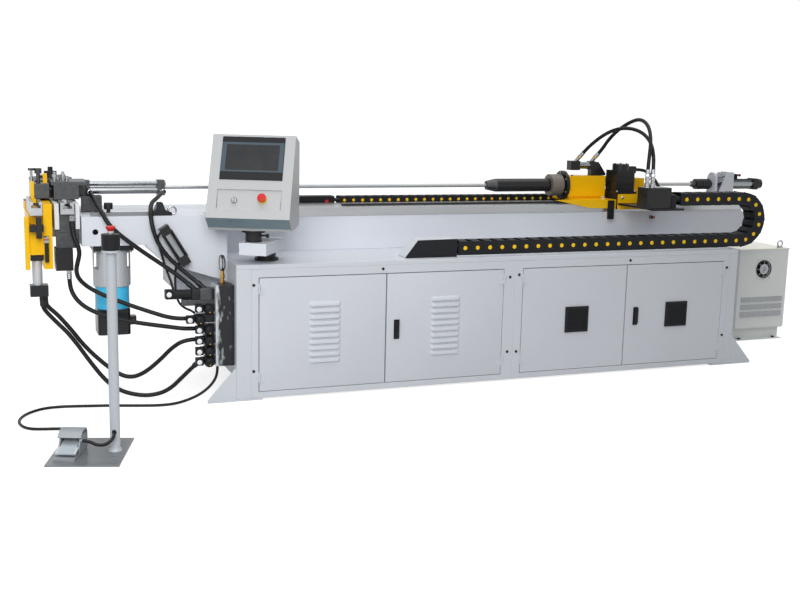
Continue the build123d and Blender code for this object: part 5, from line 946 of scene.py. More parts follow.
# Cable chains: width, lower line, loop, link height and pitch, ends of the runs and pin radius
CHAINS = (
    {
        "name": "front_cable_chain", "y": (52.0, 152.0), "low": 686.0, "radius": 114.5, "height": 68.0,
        "pitch": 68.3, "start": 1262.0, "loop": 2979.0, "end": 2540.0, "dot": 10.5,
    },
    {
        "name": "rear_cable_chain", "y": (705.0, 775.0), "low": 870.0, "radius": 50.0, "height": 42.0,
        "pitch": 51.5, "start": 831.0, "loop": 2560.0, "end": 2350.0, "dot": 8.0,
    },
)
# Share of a link's height at which the loop's links are counted
CHAIN_CORE = 0.78
# A link's side as shares of its pitch and height, how thick it is, and how deep the plate behind lies
LINK_OUTLINE = ((-0.49, 0.0), (-0.35, -0.49), (0.35, -0.49), (0.49, 0.0), (0.35, 0.49), (-0.35, 0.49))
LINK_PLATE = 5.0
LINK_BACKING = (9.0, 2.0)
# Bars across a link: ends as shares of its pitch, and how far they stay behind its sides
LINK_BAR = (-0.30, 0.26)
LINK_BAR_INSET = 4.0
# Cables in a chain: place across and radius, as shares of its width and height
CHAIN_CABLES = ((-0.26, 0.20), (0.02, 0.24), (0.28, 0.18))
# Pins, as shares of the pin's radius and millimetres of height, and the red one at the rear chain's end
PIN_CAP = ((0.0, 2.2), (0.7, 1.9), (1.0, 1.0), (1.0, -1.0), (0.0, -1.0))
PIN_BOSS = ((0.0, 0.8), (1.7, 0.8), (1.85, 0.1), (1.85, -1.0), (0.0, -1.0))
RED_PIN_AT = (787.0, 704.0, 864.0)
RED_PIN_RADIUS = 10.0


def chain_links(centres, turns, chain, outer, inner, share):
    """Links at the given centres and turns about Y: each has stepped side plates, bars across and pin caps.

    One link is drawn at the origin, and every link is that drawing turned and moved, as one array.
    The plates behind reach to the next link on the outer and the inner side, so that no gap shows, and stand
    deeper on every second link. The share shortens the plates in front and the bars.
    """
    pitch, height = chain["pitch"], chain["height"]
    half = (chain["y"][1] - chain["y"][0]) / 2
    shape = np.array(LINK_OUTLINE) * (pitch * share, height)
    low, high = -0.48 * height, 0.48 * height
    backing = np.array(((-outer, low), (outer, low), (inner, high), (-inner, high)))
    flat = {"origin": (0, 0, 0), "across": X_AXIS, "up": Z_AXIS}
    parts = []
    for side in (-1.0, 1.0):
        out = side * Y_AXIS
        parts.append((plate(shape, half - LINK_PLATE, half, 1.2, out=out, **flat), "nylon_black"))
        behind = (half - LINK_BACKING[0], half - LINK_BACKING[1])
        parts.append((plate(backing, *behind, 0.6, out=out, **flat), "nylon_black"))
        for profile, name in ((PIN_CAP, "acetal_yellow"), (PIN_BOSS, "nylon_black")):
            cap = turned(np.array(profile) * (chain["dot"], 1.0), (0, side * half, 0), out, 20)
            parts.append((cap, name))
    for level in (-0.5, 0.5):
        low, high = sorted((level * height, level * height * 0.86))
        along = (LINK_BAR[0] * pitch * share, LINK_BAR[1] * pitch * share)
        bar = rounded_box(along, (LINK_BAR_INSET - half, half - LINK_BAR_INSET), (low, high), 1.5, 1)
        parts.append((bar, "nylon_black"))
    cos, sin, zero, one = np.cos(turns), np.sin(turns), np.zeros_like(turns), np.ones_like(turns)
    turn = np.stack((cos, zero, -sin, zero, one, zero, sin, zero, cos), 1).reshape(-1, 3, 3)
    deeper = 1 - 0.012 * (np.arange(len(centres)) % 2)
    widths = np.stack((np.ones_like(deeper), deeper, np.ones_like(deeper)), 1)
    placed = []
    for (points, groups), name in parts:
        moved = np.einsum("lij,pj->lpi", turn, points) * widths[:, None] + centres[:, None]
        shifts = np.arange(len(centres)) * len(points)
        faces = [(shifts[:, None, None] + group).reshape(-1, np.shape(group)[1]) for group in groups]
        placed.append(((moved.reshape(-1, 3), faces), name))
    return placed


def chain_cables(line, chain):
    """Three round cables inside a chain, carried along its middle line."""
    parts = []
    for share, radius in CHAIN_CABLES:
        path = line + (0.0, share * (chain["y"][1] - chain["y"][0]), 0.0)
        parts.append((swept(path, radius * chain["height"], 10)[:2], "nylon_black"))
    return parts


class PIPEBENDER_OT_chains(Operator):
    """Build both cable chains as links on a lower run, a loop and an upper run"""

    bl_idname = "pipe_bender.chains"
    bl_label = "Cable chains"

    def execute(self, context):
        for chain in CHAINS:
            pitch, radius, middle = chain["pitch"], chain["radius"], sum(chain["y"]) / 2
            low, high = chain["low"], chain["low"] + 2 * radius
            start, loop, end = chain["start"], chain["loop"], chain["end"]
            counts = [int((loop - near) / pitch) for near in (start, end)]
            core = CHAIN_CORE * chain["height"] / 2
            bend = round(math.pi * (radius + core) / pitch)
            angle = math.pi * ((np.arange(bend) + 0.5) / bend - 0.5)
            straight = [loop - (np.arange(count) + 0.5) * pitch for count in counts]
            fine = np.linspace(-math.pi / 2, math.pi / 2, 25)
            curve = (loop + radius * np.cos(fine), low + radius + radius * np.sin(fine))
            spots = [np.arange(near, loop + 1, pitch / 2) for near in (start, end)]
            side = middle - 1000, middle + 1000
            wedge = math.tan(math.pi / 2 / bend)
            square = (0.52 * pitch, 0.52 * pitch, 1.0)
            wedges = ((radius + chain["height"] / 2) * wedge, (radius - chain["height"] / 2) * wedge, 0.82)
            runs = (
                (
                    "lower", straight[0], np.full(counts[0], low), np.zeros(counts[0]), square,
                    (spots[0], np.full(len(spots[0]), low)),
                    ((start, middle, low), (2 * loop - start, middle, low)),
                ),
                (
                    "loop", loop + radius * np.cos(angle), low + radius + radius * np.sin(angle),
                    angle + math.pi / 2, wedges, curve, ((loop, side[0], low), (loop, side[1], low)),
                ),
                (
                    "upper", straight[1], np.full(counts[1], high), np.full(counts[1], -math.pi), square,
                    (spots[1], np.full(len(spots[1]), high)),
                    ((2 * loop - end, middle, high), (end, middle, high)),
                ),
            )
            for run, x, z, turns, reaches, (line_x, line_z), ends in runs:
                centres = np.stack((x, np.full(len(x), middle), z), 1)
                line = np.stack((line_x, np.full(len(line_x), middle), line_z), 1)
                parts = chain_links(centres, turns, chain, *reaches) + chain_cables(line, chain)
                piece = build(f"{chain['name']}_{run}", parts, None)
                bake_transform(piece)
                if run == "lower":
                    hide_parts(chain["name"])
        red_pin = turned(np.array(PIN_CAP) * (RED_PIN_RADIUS, 1.0), RED_PIN_AT, -Y_AXIS, 20)
        build("rear_chain_end_pin", [(red_pin, "abs_red")], "machine")
        return {"FINISHED"}


# Pipe line's height and depth
PIPE_Y = 565.0
PIPE_Z = 957.0
# Feed carriage: motor, junction box, chuck flange and spindle housing, with half widths of bolt patterns
MOTOR_FOOT = (2456.0, 480.0, 927.0)
MOTOR_FOOT_BOLTS = (58.0, 60.0)
MOTOR_FIN_X = (2393.5, 2511.5)
MOTOR_FIN_Y = (423.5, 541.5)
MOTOR_FINS_Z = np.linspace(940.0, 1030.0, 10)
MOTOR_FIN_HALF = 1.6
MOTOR_LID = (2452.0, 482.0, 1080.0)
MOTOR_LID_BOLTS = 38.0
MOTOR_PLATE_BOLTS = ((2425.0, 405.0, 896.0), (2530.0, 405.0, 896.0))
BOX_LID = np.array((2431.0, 55.0, 922.0))
BOX_LID_SIZE = (146.0, 106.0, 8.0)
BOX_LID_THICK = 3.0
BOX_LID_BOLTS = (64.0, 44.0)
BOX_PORTS_X = (2382.0, 2415.0)
BOX_PORT_Y = 105.0
# Hexagons round a port: the lower nut and the upper collar, each with its foot's height
PORT_NUT = ((11.2, 0), (14.5, 0), (14.5, 13), (13.5, 14), (11.2, 14))
PORT_NUT_Z = 978.0
PORT_COLLAR = ((11.2, 0), (13.2, 0), (13.2, 10), (11.2, 10))
PORT_COLLAR_Z = 1016.0
FLANGE_X = 2118.6
FLANGE_BOLTS = 70.0
HOUSING_TOP = (2250.0, PIPE_Y, 1010.0)
HOUSING_BOLTS = (88.0, 46.0)


class PIPEBENDER_OT_carriage(Operator):
    """Finish the feed carriage, its chuck, motor, junction box and collet cylinder"""

    bl_idname = "pipe_bender.carriage"
    bl_label = "Feed carriage"

    def execute(self, context):
        # Slide pads, chain end, chain arm and sensor tab
        skin(
            "carriage_base",
            "enamel_yellow",
            (
                ("steel_black_oxide", None, (430, 700), (858, 871.9)),
                ("nylon_black", (2505, 2542), (50, 150), (866, 942)),
                ("steel_black_oxide", (2390, 2600), (45, 419.9), (855, 866)),
                ("abs_black", (2341, 2377), (403, 419.9), (775, 885)),
            ),
        )
        flange = ("enamel_black", (2100, 2136.1), None, None)
        skin("spindle_housing", "enamel_yellow", (flange,))
        # Collar, then nose
        skin(
            "chuck",
            "enamel_black",
            (
                ("steel_cast_brown", (2040.5, 2112.5), None, None),
                ("steel_blued", (1652, 1709.9), None, None),
            ),
        )
        skin("feed_motor", "enamel_black")
        skin("feed_pinion", "steel_ground", edge=0.0)
        # Hose ports
        skin(
            "junction_box",
            "enamel_black",
            (("zinc_bright", None, None, (978.5, 1050)),),
            edge=2.5 * MM,
        )
        # Barrel, then hose ports
        skin(
            "collet_cylinder",
            "enamel_black",
            (
                ("chrome_hard", (2224.5, 2292.5), None, (1040, 1091)),
                ("zinc_bright", None, (535, 570), (1093, 1140)),
            ),
        )
        across, along = MOTOR_FOOT_BOLTS
        feet = bolt_corners(MOTOR_FOOT, across * X_AXIS, along * Y_AXIS)
        details = screws(feet, Z_AXIS, 6.0, 7.0, "zinc_bright")
        details += [(hex_head(at, -Y_AXIS, 9.0, 6.0), "zinc_bright") for at in MOTOR_PLATE_BOLTS]
        for z in MOTOR_FINS_Z:
            fin = rounded_box(MOTOR_FIN_X, MOTOR_FIN_Y, (z - MOTOR_FIN_HALF, z + MOTOR_FIN_HALF), 1.0, 1)
            details.append((fin, "enamel_black"))
        lid_bolts = bolt_circle(MOTOR_LID, MOTOR_LID_BOLTS * X_AXIS, MOTOR_LID_BOLTS * Y_AXIS, 6)
        details += screws(lid_bolts, Z_AXIS, 3.5, 4.0, "steel_black_oxide")
        flange = (FLANGE_X, PIPE_Y, PIPE_Z)
        flange_bolts = bolt_circle(flange, FLANGE_BOLTS * Y_AXIS, FLANGE_BOLTS * Z_AXIS, 6, start=0.25)
        details += screws(flange_bolts, -X_AXIS, 5.4, 5.4, "zinc_bright")
        build("carriage_bolts", details, "carriage")
        outline = rounded_outline(*BOX_LID_SIZE)
        parts = [(plate(outline, 0.0, BOX_LID_THICK, 0.8, BOX_LID, X_AXIS, Z_AXIS, -Y_AXIS), "enamel_black")]
        across, along = BOX_LID_BOLTS
        corners = bolt_corners(BOX_LID - BOX_LID_THICK * Y_AXIS, across * X_AXIS, along * Z_AXIS)
        parts += screws(corners, -Y_AXIS, 3.5, 2.5, "steel_black_oxide")
        for x in BOX_PORTS_X:
            for profile, z in ((PORT_NUT, PORT_NUT_Z), (PORT_COLLAR, PORT_COLLAR_Z)):
                parts.append((turned(profile, (x, BOX_PORT_Y, z), Z_AXIS, 6), "zinc_bright"))
        build("junction_box_lid", parts, "carriage")
        across, along = HOUSING_BOLTS
        corners = bolt_corners(HOUSING_TOP, across * X_AXIS, along * Y_AXIS)
        build("housing_bolts", screws(corners, Z_AXIS, 6.0, 6.0, "steel_black_oxide"), "carriage")
        return {"FINISHED"}


# Extractor: its cylinder's near end and tie rods, and the proximity switch above it
CYLINDER_X = 3260.0
TIE_HALF = 24.0
TIE_ROD = rod(4.5, 164.0)
TIE_NUT = ((0.0, 192.0), (6.5, 192.0), (7.5, 198.0), (0.0, 198.0))
SWITCH_AT = np.array((3293.0, PIPE_Y, 1008.0))
SWITCH_BARREL = rod(6.0, 44.0)
SWITCH_TIP = ((0.0, 53.0), (5.0, 53.0), (8.0, 50.0), (8.0, 43.0), (0.0, 43.0))
SWITCH_HOLDER = ((3300.0, 3316.0), (553.0, 577.0), (981.0, 1016.0))


class PIPEBENDER_OT_extractor(Operator):
    """Finish the mandrel rod and its extractor"""

    bl_idname = "pipe_bender.extractor"
    bl_label = "Mandrel and extractor"

    def execute(self, context):
        # Coupling, piston rod and nut
        skin(
            "mandrel_rod",
            "steel_ground",
            (
                ("enamel_black", (3019, 3121.9), None, None),
                ("chrome_hard", (3122, 3331), None, None),
                ("steel_blued", (2992.5, 3019.5), None, None),
            ),
            edge=0.6 * MM,
        )
        # Tie rods between its plates
        skin(
            "extractor_bracket",
            "powder_coat_grey",
            (("chrome_hard", (3152.5, 3237.5), (528, 602), (925, 1011)),),
        )
        barrel = ("chrome_hard", (CYLINDER_X, 3423.5), None, None)
        skin("extractor_cylinder", "enamel_black", (barrel,))
        ties = []
        for at in bolt_corners((CYLINDER_X, PIPE_Y, PIPE_Z), TIE_HALF * Z_AXIS, TIE_HALF * Y_AXIS):
            ties.append((turned(TIE_ROD, at, X_AXIS, 12), "steel_black_oxide"))
            ties.append((turned(TIE_NUT, at, X_AXIS, 6), "steel_black_oxide"))
        build("extractor_ties", ties, "machine")
        switch = [
            (turned(SWITCH_BARREL, SWITCH_AT, X_AXIS), "steel_blued"),
            (turned(SWITCH_TIP, SWITCH_AT, X_AXIS), "abs_red"),
            (rounded_box(*SWITCH_HOLDER, 2.0), "abs_black"),
        ]
        build("extractor_sensor", switch, "machine")
        return {"FINISHED"}


# Gear motor: its axis, and its two rings of screws as half width, radius and height
GEARMOTOR_X = -385.0
GEARMOTOR_Y = 300.0
GEARMOTOR_FLANGE_HALF = 78.0
GEARMOTOR_FLANGE_Z = 695.0
GEARMOTOR_RING_RADIUS = 80.0
GEARMOTOR_RING_Z = 526.0
# Feed pipe beside the clamp's lever: foot, then each nut, band and elbow with its height above the foot
CLAMP_PIPE_AT = np.array((-679.0, 164.0, 660.0))
CLAMP_NUT = ((0.0, 0.0), (11.5, 0.0), (11.5, 12.0), (10.0, 13.0), (0.0, 13.0))
CLAMP_NUTS = (86.0, 103.0)
CLAMP_BAND = 98.0
CLAMP_ELBOW = 109.0


class PIPEBENDER_OT_head(Operator):
    """Finish the bending head: frame, gear motor, pressure unit, swing arm and clamp unit"""

    bl_idname = "pipe_bender.head"
    bl_label = "Bending head"

    def execute(self, context):
        # Rail, its knob, stop bracket, lifting eye and bore
        skin(
            "head_frame",
            "powder_coat_beam_painted_light",
            (
                ("steel_plate", (-482, -218), (214, 246), (854.1, 870.4)),
                ("steel_black_oxide", (-425, -379), (206, 254), (870.5, 916)),
                ("steel_black_oxide", (-224, -117), (204, 263), (854.1, 916)),
                ("zinc_bright", (-140, -88), (226, 241), (852, 900)),
                ("steel_black_oxide", (-480, -452), (190.5, 252), (772, 800)),
            ),
            edge=sizes().edge,
        )
        # Flange, painted ring and tail
        skin(
            "bend_gearmotor",
            "aluminium_cast",
            (
                ("steel_black_oxide", None, None, (695.1, 722)),
                ("enamel_blue", None, None, (420.1, 525.9)),
                ("enamel_black", None, None, (299, 420.05)),
            ),
        )
        # Skirt, bed and hose port
        skin(
            "pressure_guides",
            "steel_milled",
            (
                ("steel_blued", (-637, -533), (211, 223), (712, 799.9)),
                ("steel_blued", (-621, -549), None, (784, 868.5)),
                ("zinc_bright", (-578, -552), (185, 209.9), (837, 863)),
            ),
        )
        # Barrel, then hose port
        skin(
            "pressure_cylinder",
            "enamel_black",
            (
                ("steel_blued", (-612, -560), (232, 284), (713.1, 785)),
                ("zinc_bright", None, None, (590, 613.9)),
            ),
            edge=3.0 * MM,
        )
        # Slide, then bolts
        skin(
            "pressure_slide",
            "steel_blued",
            (
                ("steel_ground", (-616, -554), (179, 481), (868, 920.5)),
                ("zinc_bright", None, None, (1002.5, 1050)),
            ),
        )
        # Barrel, then hose ports
        skin(
            "booster_cylinder",
            "steel_blued",
            (
                ("chrome_hard", (-455.5, -140.5), (480, 520), (930, 966)),
                ("zinc_bright", None, (453, 475.5), (935, 962)),
            ),
        )
        follower_rods = ("chrome_hard", (-475.5, -90), None, None)
        skin("pressure_die", "steel_blued", (follower_rods,))
        # Lever's ears, then the hub's top
        skin(
            "swing_arm",
            "enamel_yellow",
            (
                ("steel_black_oxide", (-751, -689), (137, 184.9), (796, 828)),
                ("steel_blued", (-715, -525), (560, 760), (899.5, 901)),
            ),
        )
        top_nut = ("steel_black_oxide", None, None, (1000.5, 1051))
        skin("bend_die", "steel_blued", (top_nut,))
        # Slide, strip, stop and post
        skin(
            "clamp_slide",
            "steel_blued",
            (
                ("steel_ground", (-745, -691), (164, 471), (866, 926.5)),
                ("enamel_yellow", (-730, -715.5), (331, 467), (927, 1003)),
                ("enamel_yellow", (-673, -653), (384, 406), (993.5, 1037)),
                ("zinc_bright", (-730, -715), (388, 402), (1002.5, 1050)),
            ),
        )
        skin("clamp_die", "steel_blued")
        skin("clamp_lever", "steel_black_oxide")
        # Barrel, then hose ports
        skin(
            "clamp_cylinder",
            "enamel_black",
            (
                ("aluminium_cast", (-742, -694), (214, 266), (548.5, 658.5)),
                ("steel_black_oxide", None, None, (479, 496.5)),
            ),
            edge=3.0 * MM,
        )
        pipe = [
            (turned(rod(9.0, 92.0), CLAMP_PIPE_AT, Z_AXIS), "enamel_black"),
            (turned(rod(9.5, 5.0), CLAMP_PIPE_AT + CLAMP_BAND * Z_AXIS, Z_AXIS), "abs_red"),
            (turned(rod(7.0, 24.0), CLAMP_PIPE_AT + CLAMP_ELBOW * Z_AXIS, Y_AXIS), "zinc_bright"),
        ]
        for height in CLAMP_NUTS:
            pipe.append((turned(CLAMP_NUT, CLAMP_PIPE_AT + height * Z_AXIS, Z_AXIS, 6), "zinc_bright"))
        build("clamp_pipe", pipe, "swing")
        flange = (GEARMOTOR_X, GEARMOTOR_Y, GEARMOTOR_FLANGE_Z)
        corners = bolt_corners(flange, GEARMOTOR_FLANGE_HALF * X_AXIS, GEARMOTOR_FLANGE_HALF * Y_AXIS)
        ring = (GEARMOTOR_X, GEARMOTOR_Y, GEARMOTOR_RING_Z)
        circle = bolt_circle(ring, GEARMOTOR_RING_RADIUS * X_AXIS, GEARMOTOR_RING_RADIUS * Y_AXIS, 8)
        bolts = screws(corners, -Z_AXIS, 7.0, 8.0, "zinc_bright")
        bolts += screws(circle, -Z_AXIS, 4.0, 5.0, "zinc_bright")
        build("gearmotor_bolts", bolts, "machine")
        return {"FINISHED"}


# Valve rows on the manifold: each row's height and how far it stands out to the left
VALVE_ROWS = ((440.0, 0.0), (390.0, -42.0), (341.0, 0.0), (290.0, 0.0), (239.0, 0.0), (190.0, 0.0))
# Parts of a valve, from its row's height and shift: body, plug, coil, pin and disc
VALVE_BODY_X = 2.0
VALVE_BODY_Y = (68.0, 108.0)
VALVE_BODY_HALF = 19.0
VALVE_PLUG_X = (-44.0, -8.0)
VALVE_PLUG_Y = (44.0, 76.0)
VALVE_PLUG_HALF = 18.0
VALVE_COIL = (20.0, 36.0, -5.0)
VALVE_PIN = (20.0, 36.0, -16.0)
VALVE_DISC = (-28.0, 43.0, -2.0)
# Nose of a valve in line with the block, and of one that stands out
NOSE_X = -31.2
NOSE_OUT_X = -65.2
NOSE_Y = 88.0
# Top valve: its body's blocks, its coil and its plug
TOP_VALVE_BODY = ((-58.0, BLOCK_FACE_X), (62.0, 112.0), (480.0, 528.0))
TOP_VALVE_CORE = ((-20.0, 34.0), (58.0, 116.0), (476.0, 532.0))
TOP_VALVE_COIL = (-150.0, 87.0, 504.0)
TOP_VALVE_PLUG = ((-178.0, -146.0), (50.0, 96.0), (488.0, 530.0))
TOP_VALVE_DISC = (-163.0, 49.0, 510.0)
SPACER = ((-100.0, 44.0), (66.0, 108.0), (452.0, 480.0))
# Profiles as radius and height: the coil's dome, its pin, the plug's disc and the valve's nose
DOME = ((0.0, 1.5), (8.0, 0.0), (17.0, 3.0), (22.5, 9.0), (25.0, 17.0), (25.0, 50.0), (0.0, 50.0))
DOME_PIN = ((0.0, -1.5), (3.0, -1.0), (3.5, 0.5), (3.5, 6.0), (0.0, 6.0))
PLUG_DISC = ((0.0, -4.0), (8.0, -3.6), (11.0, -2.2), (12.0, 0.0), (12.0, 6.0), (0.0, 6.0))
NOSE = ((0.0, 0.0), (9.0, 0.0), (9.0, 13.0), (16.0, 16.0), (16.0, 40.0), (0.0, 40.0))
DIAL_CASE = (
    (0.0, 18.0), (30.0, 18.0), (36.0, 15.0), (38.0, 11.0), (38.0, 3.0), (36.0, 0.0), (33.0, 0.0),
    (33.0, 3.0), (0.0, 3.0),
)
DIAL_GLASS = ((0.0, 2.8), (32.5, 2.8), (32.5, 4.0), (0.0, 4.0))
DIAL_BAND = ((30.0, 4.0), (38.4, 4.0), (38.4, 10.0), (30.0, 10.0))
DIAL_STEM = (
    (0, 0), (14, 0), (14, 12), (9, 14), (9, 26), (12, 28), (12, 40), (9, 42), (9, 61), (0, 61),
)
DIAL_AT = (83.0, 100.0, 642.0)
DIAL_STEM_AT = (92.0, 100.0, 545.2)
# Assist cylinder: both ends, its barrel and the bars along it
ASSIST_TOP = np.array((-168.0, 166.8, 808.0))
ASSIST_FOOT = np.array((-62.0, 166.8, 632.0))
ASSIST_BARREL = ((20.0, 40.5), (21.8, 41.5), (21.8, 160.5), (20.0, 161.5))
ASSIST_BAR = rod(5.0, 142.0, 30.0)
ASSIST_BAR_HALF = 22.5
ASSIST_BAR_OUT = 12.0
# How far each hose's end fitting runs on into its valve
VALVE_FITTINGS = {"booster_hose_left": 62.0, "booster_hose_right": 50.0, "clamp_hose_lower": 38.0}


class PIPEBENDER_OT_valves(Operator):
    """Build the valve bank on its manifold, the gauge and the small cylinder"""

    bl_idname = "pipe_bender.valves"
    bl_label = "Valves and gauge"

    def execute(self, context):
        skin("manifold", "block_blackened", edge=3.0 * MM)
        parts = []
        for z, shift in VALVE_ROWS:
            row = np.array((shift, 0.0, z))
            body_z = (z - VALVE_BODY_HALF, z + VALVE_BODY_HALF)
            plug_x = (shift + VALVE_PLUG_X[0], shift + VALVE_PLUG_X[1])
            plug_z = (z - VALVE_PLUG_HALF, z + VALVE_PLUG_HALF)
            nose = (NOSE_OUT_X if shift else NOSE_X, NOSE_Y, z)
            body = rounded_box((shift + VALVE_BODY_X, BLOCK_FACE_X), VALVE_BODY_Y, body_z, 2.0)
            parts += [
                (body, "steel_black_oxide"),
                (rounded_box(plug_x, VALVE_PLUG_Y, plug_z, 3.0), "abs_black"),
                (turned(DOME, row + VALVE_COIL, Y_AXIS, 32), "abs_black"),
                (turned(DOME_PIN, row + VALVE_PIN, Y_AXIS, 16), "brass_turned"),
                (turned(PLUG_DISC, row + VALVE_DISC, Y_AXIS, 24), "abs_white"),
                (turned(NOSE, nose, X_AXIS, 24), "steel_black_oxide"),
            ]
        parts += [
            (rounded_box(*TOP_VALVE_BODY, 3.0), "steel_black_oxide"),
            (rounded_box(*TOP_VALVE_CORE, 3.0), "steel_blued"),
            (turned(rod(22.0, 90.0), TOP_VALVE_COIL, X_AXIS), "abs_black"),
            (rounded_box(*TOP_VALVE_PLUG, 3.0), "abs_black"),
            (turned(PLUG_DISC, TOP_VALVE_DISC, Y_AXIS, 24), "abs_white"),
            (rounded_box(*SPACER, 3.0), "steel_blued"),
        ]
        for name, depth in VALVE_FITTINGS.items():
            before, tip = np.array(ROUTES[name][-2:], float)
            stub = ((0.0, -6.0), (12.6, -6.0), (12.6, 16.0), (11.2, 18.0), (11.2, depth), (0.0, depth))
            parts.append((turned(stub, tip, tip - before, 24), "steel_black_oxide"))
        build("valve_bank", parts, "machine", ["solenoid_valves"])
        dial = [
            (turned(DIAL_CASE, DIAL_AT, X_AXIS, 36), "steel_blued"),
            (turned(DIAL_GLASS, DIAL_AT, X_AXIS, 36), "abs_white"),
            (turned(DIAL_BAND, DIAL_AT, X_AXIS, 36), "chrome_hard"),
            (turned(DIAL_STEM, DIAL_STEM_AT, Z_AXIS, 6), "brass_turned"),
        ]
        build("gauge", dial, "machine", ["pressure_gauge"])
        skin("assist_cylinder", "enamel_black")
        along = unit(ASSIST_FOOT - ASSIST_TOP)
        side = np.cross(along, Y_AXIS)
        parts = [(turned(ASSIST_BARREL, ASSIST_TOP, along), "chrome_hard")]
        for shift in (-ASSIST_BAR_HALF, ASSIST_BAR_HALF):
            at = ASSIST_TOP + shift * side - ASSIST_BAR_OUT * Y_AXIS
            parts.append((turned(ASSIST_BAR, at, along, 16), "enamel_black"))
        build("assist_barrel", parts, "machine")
        return {"FINISHED"}


# Console face: its origin and axes, as the CAD case has them
FACE_AT = np.array((210.3, 29.8, 1045.8))
FACE_RIGHT = np.array((0.9033, -0.4289, 0.0))
FACE_UP = np.array((0.1791, 0.3771, 0.9087))
FACE_OUT = np.array((-0.3897, -0.8208, 0.4175))
# Places right and up from the face's middle
SCREEN_V = 87.5
STOP_AT = (61.0, -107.0)
KEY_AT = (-68.0, -116.0)
RECESS_V = -115.0
# The screen's layers: finish, rise from its middle, width, height, corner radius, back, front and edge
SCREEN_LAYERS = (
    ("abs_bezel", 0.0, 290.0, 209.0, 8.0, -5.8, 4.4, 1.2),
    ("polycarbonate_grey", 5.0, 288.0, 144.0, 1.0, 4.0, 4.8, 0.3),
    ("glass_display", 3.0, 246.0, 125.0, 1.0, 4.4, 5.0, 0.2),
)
# The recess that the CAD case has, which is replaced: right, up and out
CASE_RECESS = ((-149.0, 149.0), (RECESS_V - 52.0, RECESS_V + 52.0), (-5.3, -0.2))
# The recess's outlines from its back to its floor: width, height, corner radius, middle, depth and lean
RECESS_RINGS = (
    (302.0, 107.0, 2.0, RECESS_V, -34.0, 0.0),
    (302.0, 107.0, 2.0, RECESS_V, -0.4, 0.0),
    (296.6, 101.6, 1.0, RECESS_V, -0.2, 0.0),
    (296.6, 101.6, 1.0, RECESS_V, -2.0, 0.0),
    (288.0, 94.0, 9.0, RECESS_V + 3.0, -16.0, -0.28),
)
STOP_COLLAR = ((0.0, -16.5), (21.5, -16.5), (21.5, -9.0), (19.0, -2.0), (19.0, 2.0), (0.0, 2.0))
KEY_COLLAR = ((0.0, -16.5), (16.0, -16.5), (16.0, -13.0), (14.0, -12.0), (14.0, -4.7), (0.0, -4.7))
CONSOLE_BUTTON = (
    (0.0, -18.0), (9.0, -18.0), (9.0, 8.0), (13.0, 9.0), (14.0, 11.0), (19.0, 13.0), (20.0, 15.0),
    (20.0, 19.0), (18.5, 21.0), (12.0, 22.4), (0.0, 22.8),
)
# The key's bow: width, height and corner radius, half its thickness, and how far its middle stands out
KEY_BOW = (16.0, 22.0, 7.0)
KEY_BOW_HALF = 1.2
KEY_REACH = 14.0
KEY_BEZEL = (
    (0.0, -19.0), (6.0, -19.0), (6.0, -4.6), (14.0, -4.6), (14.0, 1.0), (12.0, 4.0), (7.0, 4.2), (0.0, 3.6),
)


def on_face(u, v, out=0.0):
    """A point on the console's face."""
    return FACE_AT + u * FACE_RIGHT + v * FACE_UP + out * FACE_OUT


def face_places(points):
    """Places along the console face's own axes: right, up and out."""
    return (points - FACE_AT) @ np.stack((FACE_RIGHT, FACE_UP, FACE_OUT), 1)


def face_recess():
    """The sunk panel below the screen: rounded outlines joined in order, closed behind and by the floor."""
    points = []
    for width, height, radius, v, out, lean in RECESS_RINGS:
        flat = rounded_outline(width, height, radius)
        rise = FACE_UP + lean * FACE_OUT
        points.append(on_face(0.0, v, out) + flat[:, :1] * FACE_RIGHT + flat[:, 1:] * rise)
    count = len(points[0])
    caps = np.arange(count)[None, :]
    faces = [grid_faces(len(points), count, close_columns=True), caps, caps + count * (len(points) - 1)]
    return np.concatenate(points), faces


def face_panel(v, width, height, radius, low, high, edge):
    """A flat rounded panel on the middle line of the console's face."""
    outline = rounded_outline(width, height, radius)
    return plate(outline, low, high, edge, on_face(0.0, v), FACE_RIGHT, FACE_UP, FACE_OUT)


class PIPEBENDER_OT_console(Operator):
    """Build the operator console: arm, case, screen, stop button and key"""

    bl_idname = "pipe_bender.console"
    bl_label = "Operator console"

    def execute(self, context):
        # Flange and stub, then the collar with its knob
        skin(
            "console_arm",
            "powder_coat_beam_painted_light",
            (
                ("enamel_black", None, None, (640, 689)),
                ("enamel_black", None, None, (745.2, 800)),
            ),
            edge=2.0 * MM,
        )
        stop = on_face(*STOP_AT)
        key = on_face(*KEY_AT)
        # Lower edge, then the neck
        skin(
            "console_case",
            "powder_coat_console",
            (
                ("enamel_slate", (150, 222), (-62, 12), (824, 847)),
                ("abs_black", None, None, (780, 799.9)),
            ),
            edge=2.0 * MM,
            drop=(CASE_RECESS,),
            local=face_places,
        )
        recess = [
            (face_recess(), "powder_coat_console"),
            (turned(STOP_COLLAR, stop, FACE_OUT, 32), "abs_yellow"),
            (turned(KEY_COLLAR, key, FACE_OUT, 32), "chrome_hard"),
        ]
        build("console_recess", recess, "console")
        screen = []
        for coating, rise, *measures in SCREEN_LAYERS:
            screen.append((face_panel(SCREEN_V + rise, *measures), coating))
        build("screen", screen, "console", ["touch_screen"])
        head = turned(CONSOLE_BUTTON, stop, FACE_OUT, 32)
        build("stop_button", [(head, "abs_red")], "console_button", ["console_stop"])
        bow_at = key + KEY_REACH * FACE_OUT
        outline = rounded_outline(*KEY_BOW)
        bow = plate(outline, -KEY_BOW_HALF, KEY_BOW_HALF, 0.5, bow_at, FACE_OUT, FACE_UP, FACE_RIGHT)
        barrel = turned(KEY_BEZEL, key, FACE_OUT, 32)
        build("key", [(barrel, "chrome_hard"), (bow, "zinc_bright")], "key", ["key_switch"])
        return {"FINISHED"}


